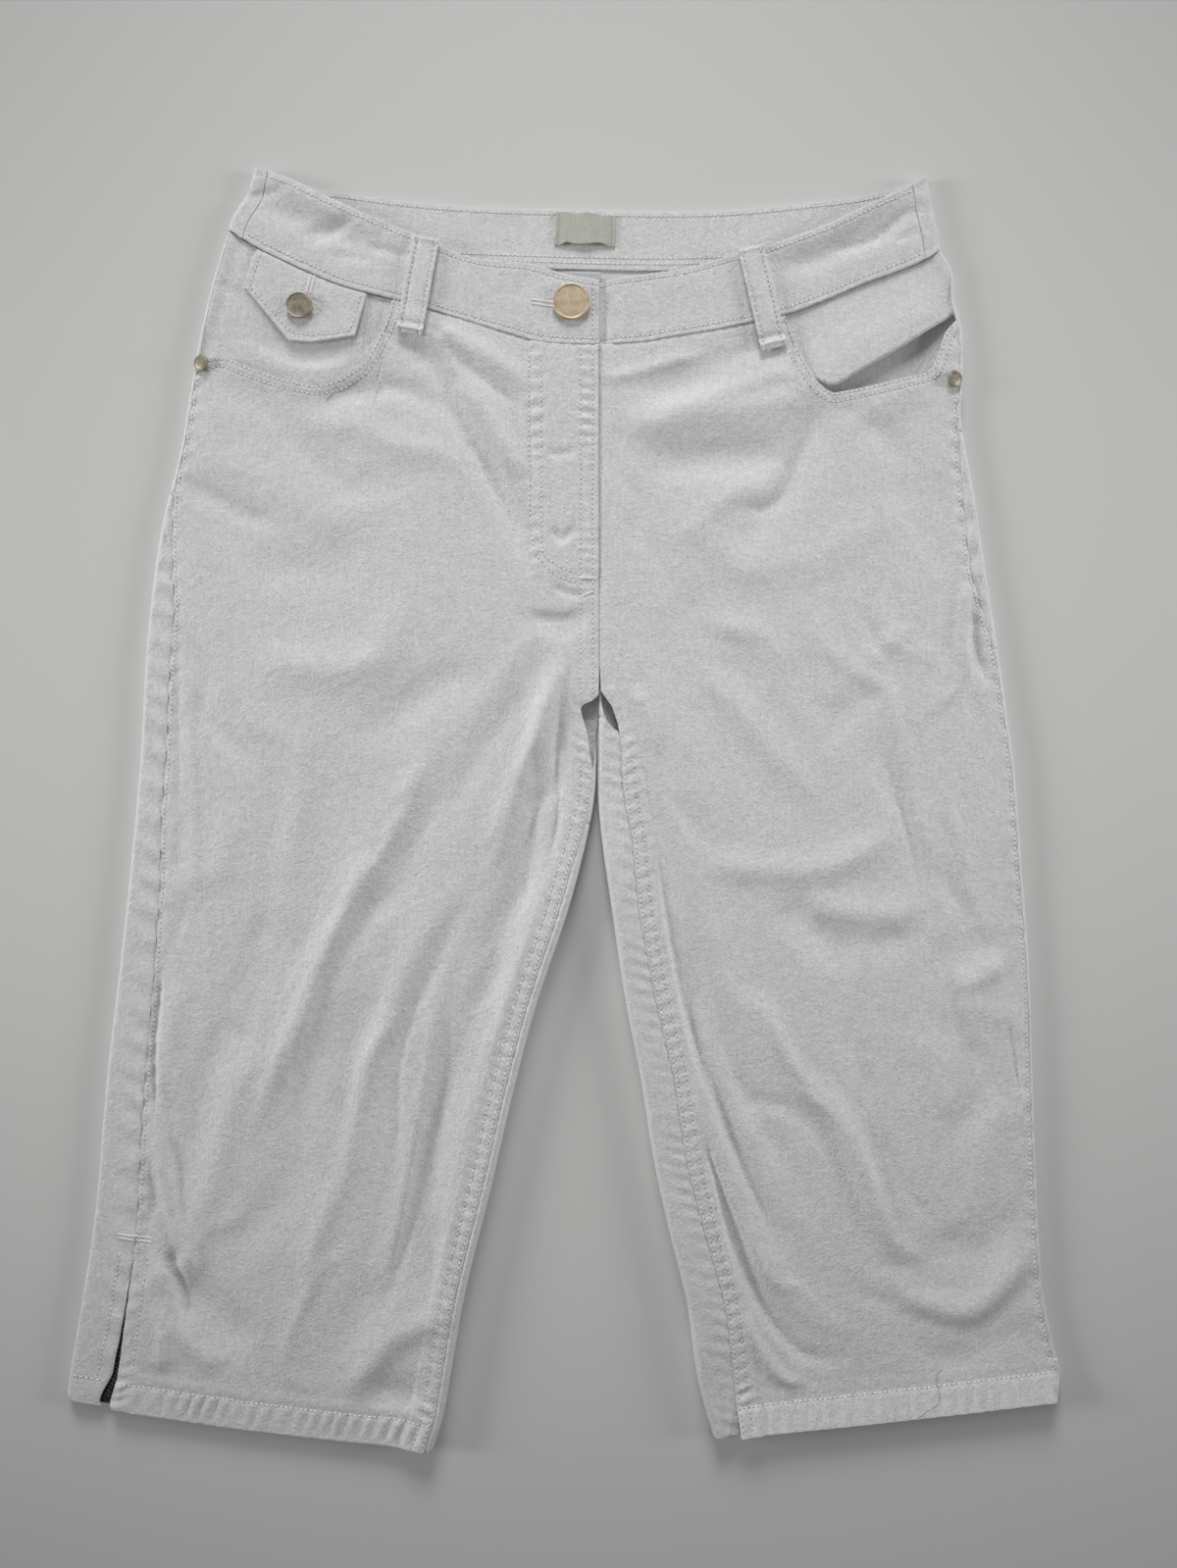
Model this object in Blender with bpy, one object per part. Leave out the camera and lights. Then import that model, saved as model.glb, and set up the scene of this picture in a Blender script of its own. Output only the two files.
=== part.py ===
"""White cotton capri pants, laid flat on their back, front side up.

Tables are in millimetres.  +X is the wearer's left, +Y runs up to the waist and +Z up
from the surface the pants lie on.  The origin is the middle of the footprint.  Every
mesh is scaled to metres as it is made.
"""
import math

import bmesh
import bpy
import numpy as np

MM = 0.001
SEAM_GAP = 0.3          # between two pieces sewn edge to edge
LAYER_GAP = 0.3         # between a piece and the one that it lies on

# ---- driving sizes -------------------------------------------------------------------
CLOTH = 1.2             # one layer of twill with its seam allowances
HEM_WALL = 1.9          # turned-up hem
HEM_DEPTH = 16.0
BAND_WALL = 2.2         # waistband: two layers and interfacing
FLY_EXTRA = 1.2         # the fly's second layer
FLY_WIDTH = 37.0
FLY_STEP = 2.0          # width over which it thickens
LEG_HEIGHT = 6.0        # top of the upper layer over the floor, along the legs
HIP_HEIGHT = 7.0
BAND_HEIGHT = 7.6
LOWEST_TOP = 3.5        # a crease never presses the upper layer lower than this
FOLD_RADIUS = 3.2       # how tightly the sides roll over
BAND_FOLD_RADIUS = 3.8
CENTRE_X = 20.0         # centre front and centre back
CENTRE_HALF_GAP = SEAM_GAP / 2
CENTRE_RUN = 2.0        # last strip of a back panel before the centre back seam
FORK_START_Y = 44.0     # the inner leg edge starts to roll up here
FORK_END_Y = 14.0       # and is fully folded over here
HIP_START_Y = 40.0      # the upper layer rises from leg to hip height between these
HIP_END_Y = 140.0
WAIST_FADE = {"front": 0.35, "back": 0.5}   # share of a side over which rows straighten
HEM_FADE = 0.85                             # and from which they take the hem's sag

# ---- outlines, from the waist seam down to the hem: x, y ------------------------------
OUTER_EDGE = {
    "right": [(-191.7, 329.1), (-200, 302), (-207.3, 271.4), (-211.8, 246), (-219, 203),
              (-230, 158), (-237.5, 98), (-242.5, 17), (-251, -70), (-260, -147),
              (-267, -227), (-273.5, -272), (-278.5, -302), (-283, -331), (-281.5, -337)],
    "left": [(214.6, 317.4), (221, 306.5), (223.5, 287), (227.2, 271), (227.8, 243),
             (226.5, 223), (229.5, 203), (234.5, 175), (241, 132), (247, 93), (253, 50),
             (257, 20), (260, -20), (265.5, -96), (268, -177), (272.5, -267),
             (278, -301), (283, -322), (281, -335)],
}
INNER_EDGE = {
    "right": [(20, 263.6), (20, 209), (20, 148), (20, 92), (20, 60), (19.6, 44),
              (18.2, 30), (18.2, 12), (14.4, -12), (2.7, -57), (-15.5, -111),
              (-28.5, -160), (-40.5, -212), (-56, -275), (-63, -314), (-68.4, -345),
              (-74, -363.6)],
    "left": [(20, 263.6), (20, 209), (20, 148), (20, 92), (20, 60), (19.6, 44),
             (19.2, 30), (19.0, 6), (21.5, -20), (27.5, -61), (34.5, -108), (43.5, -154),
             (51, -201), (60, -242), (70, -283), (75.5, -323), (84.5, -356.3)],
}
HEM_SAG = {"right": 3.0, "left": 1.0}
SEAM_COLUMNS = ("y", "side seam from edge", "slit width", "inseam from edge")
SEAMS = {
    "right": [(330, 2.2, 0, 0.15), (185, 2.2, 0, 0.15), (158, 7.3, 0, 0.15),
              (115, 14.5, 0, 0.15), (72, 15, 0, 0.15), (62, 15.3, 0, 5.5),
              (54, 15.4, 0, 10.5), (46, 15.4, 0, 10.5), (36, 15.4, 0, 9.5),
              (22, 15.3, 0, 9.0), (0, 15.2, 0, 8.0), (-40, 18.5, 0, 5.6),
              (-120, 21.8, 0, 5), (-205, 23.8, 0, 5), (-252, 25.8, 0, 5),
              (-289, 25.8, 1.2, 5), (-318, 24.6, 3.2, 5), (-328, 20.8, 5.6, 5),
              (-340, 17.6, 6.4, 5)],
    "left": [(330, 2.2, 0, 0.15), (243, 2.2, 0, 0.15), (220, 2.8, 0, 0.15),
             (180, 7.3, 0, 0.15), (138, 9.5, 0, 0.15), (110, 5.6, 0, 0.15),
             (82, 2.2, 0, 0.15), (66, 2.2, 0, 1.0), (56, 2.2, 0, 7.5), (46, 2.2, 0, 11),
             (36, 2.2, 0, 13), (13, 2.2, 0, 14.6), (-20, 2.2, 0, 17.4), (-61, 2.2, 0, 15.2),
             (-154, 2.2, 0, 18.5), (-212, 2.2, 0, 18.5), (-295, 2.4, 0, 21.3),
             (-323, 2.6, 0, 20.7), (-360, 2.6, 0, 14.8)],
}
# ---- waist: x, y ----------------------------------------------------------------------
WAIST_SEAM = [(-191.7, 329.1), (-175, 319), (-159, 311), (-143.5, 304), (-125, 296.6),
              (-95, 288.8), (-53.3, 276.5), (-19.7, 266.4), (-7, 264.2), (20, 263.6),
              (47.5, 265.3), (56, 267), (95, 273.7), (127, 281), (148.3, 288.8),
              (169.5, 297.8), (188, 304.5), (203, 310.6), (214.6, 317.4)]
BACK_WAIST_SEAM = [(-191.7, 329.1), (-150, 320), (-87, 312), (20, 308), (81, 308),
                   (150, 312), (214.6, 317.4)]
BAND_TOP_RIGHT = [(-176.7, 364.7), (-157, 358), (-139, 349.3), (-112, 337), (-87, 327),
                  (-53.3, 313), (-19.7, 309.5), (-3, 304.5), (19.7, 300)]
BAND_TOP_LEFT = [(20.3, 299.6), (47.5, 303.4), (70, 307), (98, 315), (112.4, 318),
                 (148.3, 330.8), (174, 343), (196.4, 353.5), (206.5, 360)]
BAND_TOP_BACK = [(-176.7, 364.7), (-150, 354.5), (-125.6, 351.5), (-87, 346.5), (-53, 343.7),
                 (-8.5, 342), (81, 341), (148, 347), (180, 352), (206.5, 360)]
BAND_SIDE = {"right": [(-191.7, 329.1), (-189.3, 336.6), (-184.5, 344.2), (-181, 350),
                       (-178.4, 357), (-176.7, 364.7)],
             "left": [(214.6, 317.4), (212.7, 329.7), (210, 341), (208.2, 351.5),
                      (206.5, 360)]}
BAND_SIDE_SEAM = 9.0    # the front band is joined this far in from the side fold
BAND_SEAM_OFFSET = 0.4  # between the band's lower edge and the waist seam
UNDERLAP = 32.0         # the left band's end runs this far under the right one
UNDERLAP_DROP = 2.6
UNDERLAP_STEP = (9.0, 1.0)      # it sinks between these distances from the centre
UNDERLAP_COLUMNS = 3
# ---- pockets --------------------------------------------------------------------------
SCOOP = {
    "right": [(-207.3, 254), (-193.3, 255.8), (-179, 250.2), (-163, 244.6), (-147.4, 241),
              (-140.7, 240), (-130.6, 242.3), (-121.7, 246.8), (-113.3, 253),
              (-106, 265.8), (-100.4, 278.2), (-97.6, 289.6)],
    "left": [(126, 281), (131, 265.3), (136.5, 253.5), (142.7, 243.4), (151.6, 236.2),
             (161.7, 237.3), (175.7, 240), (194.7, 244.6), (207.6, 248.5), (212, 256),
             (214.5, 264), (218, 272), (225.5, 280)],
}
FACING_DROP = CLOTH + LAYER_GAP       # the facing lies one layer below the front panel
FACING_UNDERLAP = 10.0
FACING_MOUTH_DROP = 1.2               # and sags a little more inside the open mouth
FACING_SAG_Y = (290.0, 262.0)
FACING_SAG_INSET = (5.0, 25.0)
# where the left facing bags out over its pocket and rolls under: x, y
FACING_ROLL = [(112, 268), (122, 262), (130, 254), (138, 247), (146, 242), (154.4, 240.5),
               (169, 249), (192, 262), (211, 274.2), (220, 279.8), (226, 283.5)]
FACING_ROLL_RADIUS = 1.7
FACING_ROLL_RISE = 3.0
FACING_ROLL_TUCK = 6.0
FACING_ROLL_X = (128.0, 142.0)        # the bulge grows from one to the other
FACING_FLAT_POINTS = 6
FACING_TURN_POINTS = 4
FACING_COLUMNS = {
    "right": [0, .04, .09, .14, .19, .24, .29, .34, .385, .415, .435, .46, .49],
    "left": [0, .03, .06, .10, .15, .20, .25, .30, .35, .385, .41, .43, .4558, .49],
}
FLAP_WALL = 1.5
FLAP_LOWER = [(-182, 296.6), (-169, 281), (-156.4, 265.6), (-143.5, 264.7), (-119, 268.6)]
FLAP_UPPER_X = (-174.3, -112.0)
# ---- folds ----------------------------------------------------------------------------
# name: height (minus is a trough), width of its left flank, of its right flank,
# and the line that it follows
FOLDS = {
    "right_thigh_trough": (-2.2, 7, 7, [(-37, 52), (-81, 8), (-123, -65), (-149, -124),
                                        (-171, -180)]),
    "right_outer_ridge": (2.8, 9, 9, [(-76, 36), (-109, -6), (-154, -76), (-171, -110),
                                      (-185, -155), (-202, -211)]),
    "right_inner_ridge": (3.6, 7, 7, [(-11, -34), (-28, -68), (-42, -116), (-53, -152),
                                      (-65, -194), (-73, -236), (-93, -292)]),
    "right_knee_trough": (-1.6, 6, 6, [(-53, -49), (-70, -68), (-81, -93), (-107, -141)]),
    "right_knee_ridge": (2.0, 6, 6, [(-107, -116), (-115, -144), (-126, -188), (-137, -228)]),
    "right_shin_trough": (-1.4, 6, 6, [(-67, -116), (-73, -155), (-81, -188), (-93, -222)]),
    "right_hem_dent": (-1.8, 8, 8, [(-109, -314), (-73, -300)]),
    "right_slit_ridge": (1.8, 5, 5, [(-232, -160), (-227, -200), (-217, -228), (-211, -253)]),
    "right_hip_trough": (-2.2, 7, 7, [(-215, 191), (-194, 185), (-172, 176), (-150, 169)]),
    "right_hip_hollow": (-1.4, 10, 10, [(-150, 220), (-123, 205), (-91, 196), (-69, 203)]),
    "right_fly_trough": (-1.8, 6, 6, [(-73, 261), (-60, 238), (-47, 216), (-33, 198),
                                      (-20, 164), (-6, 139)]),
    "right_seat_trough": (-1.8, 12, 12, [(-159, 66), (-132, 70), (-96, 75), (-69, 84),
                                         (-42, 107)]),
    "right_fork_trough": (-2.2, 6, 6, [(0, 75), (-6, 47), (-13, 27), (-23, 2), (-31, -21)]),
    "right_fork_ridge": (2.4, 9, 9, [(-17, 58), (-42, 13), (-70, -26), (-104, -76)]),
    "left_fly_ridge": (3.6, 10, 10, [(36, 224), (70, 226), (103, 236), (128, 248)]),
    "left_fly_trough": (-2.4, 6, 6, [(30, 213), (59, 206), (92, 213), (117, 221), (134, 231)]),
    "left_band_trough": (-1.6, 6, 6, [(25, 241), (50, 245), (77, 252), (93, 266)]),
    "left_pocket_trough": (-2.4, 5, 5, [(133, 223), (130, 210), (124, 191), (112, 169)]),
    "left_hip_hollow": (-1.4, 10, 10, [(70, 120), (103, 119), (143, 134), (177, 138)]),
    "left_side_ridge": (2.6, 7, 7, [(216, 142), (217, 108), (215, 75)]),
    "left_side_trough": (-2.8, 4, 4, [(232, 142), (234, 108), (228, 75)]),
    "left_seat_dent": (-1.4, 7, 7, [(177, 95), (193, 78), (204, 75)]),
    "left_fork_ridge": (2.6, 6, 6, [(27, 73), (35, 56), (40, 40), (46, 13), (51, -20)]),
    "left_thigh_trough": (-2.4, 6, 6, [(56, 8), (70, -40), (84, -93), (95, -118),
                                       (112, -157)]),
    "left_shin_trough": (-1.8, 6, 6, [(129, -157), (145, -177), (165, -202), (176, -236),
                                      (199, -253)]),
    "left_inseam_trough": (-2.3, 6, 6, [(77, -99), (81, -152), (92, -222), (103, -256),
                                        (120, -284), (143, -303), (162, -304)]),
    "left_inseam_ridge": (3.0, 7, 7, [(67, -132), (89, -186), (101, -222), (115, -250),
                                      (129, -270), (151, -294)]),
    "left_knee_ridge": (1.8, 9, 9, [(78, -24), (126, -24), (176, -10)]),
    "left_knee_trough": (-2.0, 6, 6, [(73, -40), (120, -43), (154, -37), (185, -23)]),
    "left_calf_trough": (-1.5, 6, 6, [(143, -62), (168, -68), (187, -65), (213, -53)]),
    "left_edge_dent": (-1.5, 7, 7, [(224, -102), (229, -124), (241, -135)]),
    "left_hem_dent": (-1.6, 8, 8, [(193, -289), (227, -296), (262, -270)]),
}
SCOOP_RISE = {"right": (1.8, 8.0), "left": (1.2, 8.0)}     # height, width of the flank
BAND_FOLDS = {
    "right_band_trough": (-1.6, 6, 6, [(-182, 346), (-154, 336), (-129, 326), (-104, 314)]),
    "right_band_lip": (1.4, 6, 6, [(-172, 360), (-139, 345), (-100, 328)]),
    "left_band_trough_top": (-1.6, 6, 6, [(117, 306), (144, 312), (162, 320), (184, 328),
                                          (205, 341)]),
    "left_band_lip": (1.6, 6, 6, [(108, 315), (148, 328), (174, 341), (202, 357)]),
}
# ---- small pieces -----------------------------------------------------------------------
LOOP_WIDTH = 15.0
LOOP_WALL = 1.6
LOOP_ARCH = 1.2
LOOP_CLEARANCE = 4.0    # the loop clears the highest cloth within this reach
LOOPS = {"right": [(-77.7, 323.4), (-87.5, 268.3)], "left": [(105.5, 317.6), (119, 260.5)]}
LABEL_CORNERS = [(-4.6, 341.0), (29.5, 338.6), (29.0, 320.7), (-5.7, 321.8)]
LABEL_WALL = 1.0
TAG_CORNERS = [(0.0, 306.6), (21.0, 306.2), (20.4, 294.0), (0.6, 294.4)]
WAIST_BUTTON = {"at": (4.1, 286.7), "radius": 10.4}
COIN_BUTTON = {"at": (-149.9, 284.7), "radius": 7.5}
RIVET_RADIUS = 4.8
RIVET_LEAN = 18.0       # degrees, down to the side fold
RIVETS = {"right": (-205.6, 252.4), "left": (221.4, 243.4)}
ZIP_TOP_Y = -256.0
ZIP_END_SHARE = 0.997
ZIP_HALF_WIDTH = 6.0
ZIP_WALL = 1.0
ZIP_STOP = (2.8, 3.4, 1.8)       # width, length, height
# ---- mesh density -----------------------------------------------------------------------
ROW_LEVELS = [263.6, 246, 226, 205, 183, 160, 137, 114, 92, 75, 64, 56, 48, 41, 34, 27, 20,
              10, -8, -28, -50, -75, -100, -125, -150, -175, -200, -225, -250, -275, -300,
              -325, -345, -348, -363.6]
FRONT_COLUMNS = {
    "right": [0, .04, .09, .14, .19, .24, .29, .34, .385, .415, .435, .4445, .48, .52, .56,
              .60, .645, .69, .735, .78, .825, .87, .91, .955, 1],
    "left": [0, .03, .06, .10, .15, .20, .25, .30, .35, .385, .41, .43, .4558, .49, .53, .57,
             .61, .655, .70, .745, .79, .835, .88, .94, 1],
}
MERGE_LEVEL = 137.0     # from this level down, a row is level across both panels
MOUTH_ROWS = (0, 0.25, 0.5, 0.75)
BAND_ROWS = (0, 0.2, 0.45, 0.72, 1)
BAND_COLUMNS = 15
ROLL_POINTS = 7
ARC_SHARE = 4 / 6       # the share of the roll points that lie on its arc
FLOOR_POINTS = 5
BAND_FLOOR_POINTS = 11
SEAM_SHARE = 0.0006     # share of a row line that a seam gap at the waist takes
MOUTH_STEP = 0.001      # share of a row line by which an open pocket is measured
MOUTH_LIMIT = 0.25
# ---- finishes: colour, roughness, metallic ------------------------------------------------
TWILL = ((0.78, 0.78, 0.76), 0.9, 0.0)
LABEL_RIBBON = ((0.42, 0.42, 0.35), 0.8, 0.0)
ROSE_GOLD = ((0.75, 0.52, 0.40), 0.35, 1.0)
OLD_BRASS = ((0.42, 0.33, 0.20), 0.45, 1.0)
BLACK_TAPE = ((0.02, 0.02, 0.02), 0.8, 0.0)
STEEL = ((0.62, 0.62, 0.62), 0.35, 1.0)


# ---- helpers: curves and heights --------------------------------------------------------
def smooth_curve(points, pieces=10):
    """A Catmull-Rom curve through the points, as a dense list of points."""
    knots = np.array(points, dtype=float)
    ends = np.vstack([2 * knots[0] - knots[1], knots, 2 * knots[-1] - knots[-2]])
    dense = []
    for a, b, c, d in zip(ends[:-3], ends[1:-2], ends[2:-1], ends[3:]):
        for u in np.arange(pieces) / pieces:
            dense.append(0.5 * (2 * b + (c - a) * u + (2 * a - 5 * b + 4 * c - d) * u * u
                                + (3 * b - a - 3 * c + d) * u ** 3))
    dense.append(knots[-1])
    return np.array(dense)


class Curve:
    """A smooth line read by the share of its length."""

    def __init__(self, points, smooth=True):
        self.points = smooth_curve(points) if smooth else np.array(points, dtype=float)
        steps = np.linalg.norm(np.diff(self.points, axis=0), axis=1)
        self.reach = np.concatenate([[0], np.cumsum(steps)])
        self.length = self.reach[-1]

    def at(self, share):
        where = np.clip(share, 0, 1) * self.length
        return np.array([np.interp(where, self.reach, self.points[:, k]) for k in (0, 1)])

    def share_at_y(self, y):
        """The share at which a line that runs downwards passes the height y."""
        falling = self.points[:, 1][::-1]
        return float(np.interp(y, falling, self.reach[::-1]) / self.length)

    def y_at_x(self, x):
        order = np.argsort(self.points[:, 0])
        return float(np.interp(x, self.points[order, 0], self.points[order, 1]))


def smoothstep(low, high, value):
    share = min(max((value - low) / (high - low), 0.0), 1.0)
    return share * share * (3 - 2 * share)


def ridge(x, y, height, left_flank, right_flank, line):
    """Height of one fold at a point: a bell across its line, fading at both ends."""
    point = np.array([x, y])
    starts, ends = line.points[:-1], line.points[1:]
    runs = ends - starts
    along = np.clip(((point - starts) * runs).sum(1) / (runs ** 2).sum(1), 0, 1)
    offsets = point - (starts + runs * along[:, None])
    distances = np.linalg.norm(offsets, axis=1)
    nearest = int(distances.argmin())
    run, offset = runs[nearest], offsets[nearest]
    flank = left_flank if run[0] * offset[1] - run[1] * offset[0] > 0 else right_flank
    bell = math.exp(-(distances[nearest] / flank) ** 2)
    step = np.linalg.norm(run) * along[nearest]
    share = (line.reach[nearest] + step) / line.length
    fade = smoothstep(-0.05, 0.25, share) * smoothstep(-0.05, 0.25, 1 - share)
    return height * bell * fade


FOLD_LINES = {name: Curve(row[3]) for name, row in FOLDS.items()}
BAND_FOLD_LINES = {name: Curve(row[3]) for name, row in BAND_FOLDS.items()}
SCOOP_LINES = {side: Curve(points) for side, points in SCOOP.items()}
OUTER = {side: Curve(points) for side, points in OUTER_EDGE.items()}
INNER = {side: Curve(points) for side, points in INNER_EDGE.items()}
WAIST = Curve(WAIST_SEAM)
BACK_WAIST = Curve(BACK_WAIST_SEAM)


def seam_value(side, y, column):
    rows = SEAMS[side][::-1]
    return float(np.interp(y, [row[0] for row in rows],
                           [row[SEAM_COLUMNS.index(column)] for row in rows]))


def body_height(x, y):
    """Top of the upper layer before its sides roll over."""
    height = LEG_HEIGHT + (HIP_HEIGHT - LEG_HEIGHT) * smoothstep(HIP_START_Y, HIP_END_Y, y)
    for name, row in FOLDS.items():
        height += ridge(x, y, *row[:3], FOLD_LINES[name])
    return max(height, LOWEST_TOP)


def band_height(x, y):
    height = BAND_HEIGHT
    for name, row in BAND_FOLDS.items():
        height += ridge(x, y, *row[:3], BAND_FOLD_LINES[name])
    return height


def rolled(height, distance, radius):
    """Height of the top where a side rolls over to the floor, at a distance from it."""
    inward = min(distance / radius, 1.0)
    return radius + (height - radius) * math.sqrt(max(1 - (1 - inward) ** 2, 0.0))


def fork_share(y):
    """0 where the inner leg edge still lies flat at the fork, 1 where it's folded over."""
    return 1 - smoothstep(FORK_END_Y, FORK_START_Y, y)


# ---- a leg and its half of the seat -----------------------------------------------------
class Half:
    def __init__(self, side):
        self.side = side
        self.sign = -1 if side == "right" else 1
        self.outer = OUTER[side]
        self.inner = INNER[side]
        self.scoop = SCOOP_LINES[side]

    def row_points(self, t):
        return self.outer.at(t), self.inner.at(t)

    def bent(self, share, t, point, back=False):
        """A point of a straight row, moved on to the curved waist seam and hem."""
        outer, inner = self.row_points(0)
        chord = outer + (inner - outer) * share
        seam = BACK_WAIST if back else WAIST
        top = seam.y_at_x(chord[0]) - chord[1]
        reach = WAIST_FADE["back" if back else "front"]
        hem = HEM_SAG[self.side] * 4 * share * (1 - share)
        return point + np.array([0, top * (1 - smoothstep(0, reach, t))
                                 - hem * smoothstep(HEM_FADE, 1, t)])

    def on_row(self, inset, t, back=False):
        """A point on row t, inset this many millimetres from the outer edge."""
        outer, inner = self.row_points(t)
        width = np.linalg.norm(inner - outer)
        share = inset / width
        return self.bent(share, t, outer + (inner - outer) * share, back)

    def width(self, t):
        outer, inner = self.row_points(t)
        return np.linalg.norm(inner - outer)

    def insets(self, t):
        """Side seam and inseam on this row, as distances from the outer edge."""
        outer, inner = self.row_points(t)
        seam = seam_value(self.side, outer[1], "side seam from edge")
        slit = seam_value(self.side, outer[1], "slit width")
        inseam = seam_value(self.side, inner[1], "inseam from edge")
        return seam, slit, self.width(t) - inseam

    def front_inset(self, column, t):
        """Inset of a column of the front panel, between its side seam and its inner edge."""
        seam, slit, inseam = self.insets(t)
        start = seam + slit + SEAM_GAP / 2
        end = inseam - (SEAM_GAP / 2 if inseam < self.width(t) - 1 else 0)
        return start + (end - start) * column

    def top(self, inset, t, scoop_rise=True):
        """Height of the upper layer on row t, with both sides rolled over."""
        x, y = self.on_row(inset, t)
        height = body_height(x, y)
        if scoop_rise:
            rise, flank = SCOOP_RISE[self.side]
            height += ridge(x, y, rise, flank, flank, self.scoop)
        inner_y = self.row_points(t)[1][1]
        height = rolled(height, inset, FOLD_RADIUS)
        fold = rolled(height, max(self.width(t) - inset, 0), FOLD_RADIUS)
        return height + (fold - height) * fork_share(inner_y)

    def in_pocket_mouth(self, x, y, line, first_x):
        """Whether a point lies in the open pocket, above its scooped edge."""
        return (first_x - x) * self.sign < 0 and y > line.y_at_x(x)

    def mouth_end(self, column, line, first_x):
        """How far down its column the open pocket reaches, as a share of the row line."""
        for t in np.arange(MOUTH_LIMIT, 0, -MOUTH_STEP):
            point = self.on_row(self.front_inset(column, t), t)
            if self.in_pocket_mouth(*point, line, first_x):
                return t + MOUTH_STEP
        return 0.0

    def scoop_start(self, column):
        first_x = SCOOP[self.side][-1 if self.side == "right" else 0][0]
        return self.mouth_end(column, self.scoop, first_x)


HALVES = {side: Half(side) for side in ("right", "left")}


# ---- helpers: meshes --------------------------------------------------------------------
def material(name, colour, roughness, metallic):
    surface = bpy.data.materials.new(name)
    surface.use_nodes = True
    shader = surface.node_tree.nodes["Principled BSDF"]
    shader.inputs["Base Color"].default_value = (*colour, 1)
    shader.inputs["Roughness"].default_value = roughness
    shader.inputs["Metallic"].default_value = metallic
    return surface


def add_object(name, mesh_data, finish):
    mesh = bpy.data.meshes.new(name)
    mesh_data.to_mesh(mesh)
    mesh_data.free()
    piece = bpy.data.objects.new(name, mesh)
    mesh.materials.append(material(name + "_finish", *finish))
    mesh.shade_smooth()
    mesh.set_sharp_from_angle(angle=math.radians(40))
    bpy.context.collection.objects.link(piece)
    return piece


def slab(name, upper, lower, finish):
    """A closed sheet between two grids of points, upper[row][column] and lower."""
    mesh_data = bmesh.new()
    grids = [[[mesh_data.verts.new(point * MM) for point in row] for row in grid]
             for grid in (np.array(upper), np.array(lower))]
    rows, columns = len(upper), len(upper[0])
    for r in range(rows - 1):
        for c in range(columns - 1):
            for grid in grids:
                mesh_data.faces.new([grid[r][c], grid[r][c + 1],
                                     grid[r + 1][c + 1], grid[r + 1][c]])
    rim = ([(0, c) for c in range(columns - 1)]
           + [(r, columns - 1) for r in range(rows - 1)]
           + [(rows - 1, c) for c in range(columns - 1, 0, -1)]
           + [(r, 0) for r in range(rows - 1, 0, -1)])
    for here, there in zip(rim, rim[1:] + rim[:1]):
        mesh_data.faces.new([grids[0][here[0]][here[1]], grids[0][there[0]][there[1]],
                             grids[1][there[0]][there[1]], grids[1][here[0]][here[1]]])
    bmesh.ops.recalc_face_normals(mesh_data, faces=mesh_data.faces)
    return add_object(name, mesh_data, finish)


def sleeve(name, sections, finish):
    """A closed wall through rings of points, each ring one section of the wall."""
    mesh_data = bmesh.new()
    rings = [[mesh_data.verts.new(point * MM) for point in ring] for ring in sections]
    for ring, following in zip(rings, rings[1:]):
        for k in range(len(ring)):
            nxt = (k + 1) % len(ring)
            mesh_data.faces.new([ring[k], ring[nxt], following[nxt], following[k]])
    for ring in (rings[0], rings[-1]):
        half = len(ring) // 2
        for k in range(half - 1):
            mesh_data.faces.new([ring[k], ring[k + 1], ring[-k - 2], ring[-k - 1]])
    bmesh.ops.recalc_face_normals(mesh_data, faces=mesh_data.faces)
    return add_object(name, mesh_data, finish)


def turned(name, profile, at, finish, segments, lean=0.0):
    """A solid turned round its own axis, leaning sideways: rows are radius, height."""
    mesh_data = bmesh.new()
    slope = math.tan(math.radians(lean))
    rings = []
    for radius, height in profile:
        if radius == 0:
            rings.append([mesh_data.verts.new((at + np.array([0, 0, height])) * MM)])
            continue
        ring = []
        for k in range(segments):
            angle = 2 * math.pi * k / segments
            x, y = radius * math.cos(angle), radius * math.sin(angle)
            ring.append(mesh_data.verts.new((at + np.array([x, y, height + x * slope])) * MM))
        rings.append(ring)
    for ring, following in zip(rings, rings[1:]):
        for k in range(segments):
            nxt = (k + 1) % segments
            if len(ring) == 1:
                mesh_data.faces.new([ring[0], following[nxt], following[k]])
            elif len(following) == 1:
                mesh_data.faces.new([ring[k], ring[nxt], following[0]])
            else:
                mesh_data.faces.new([ring[k], ring[nxt], following[nxt], following[k]])
    bmesh.ops.recalc_face_normals(mesh_data, faces=mesh_data.faces)
    return add_object(name, mesh_data, finish)


# ---- panels -----------------------------------------------------------------------------
def hem_share(half, t):
    """1 within the turned-up hem, 0 above it."""
    return 1.0 if (1 - t) * half.inner.length < HEM_DEPTH + 0.1 else 0.0


def column_rows(half, start):
    """Shares of a column's rows: squeezed above the merging level, even below it."""
    merge = half.inner.share_at_y(MERGE_LEVEL)
    levels = [half.inner.share_at_y(y) for y in ROW_LEVELS]
    return [level if level >= merge else start + (merge - start) * level / merge
            for level in levels]


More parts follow.
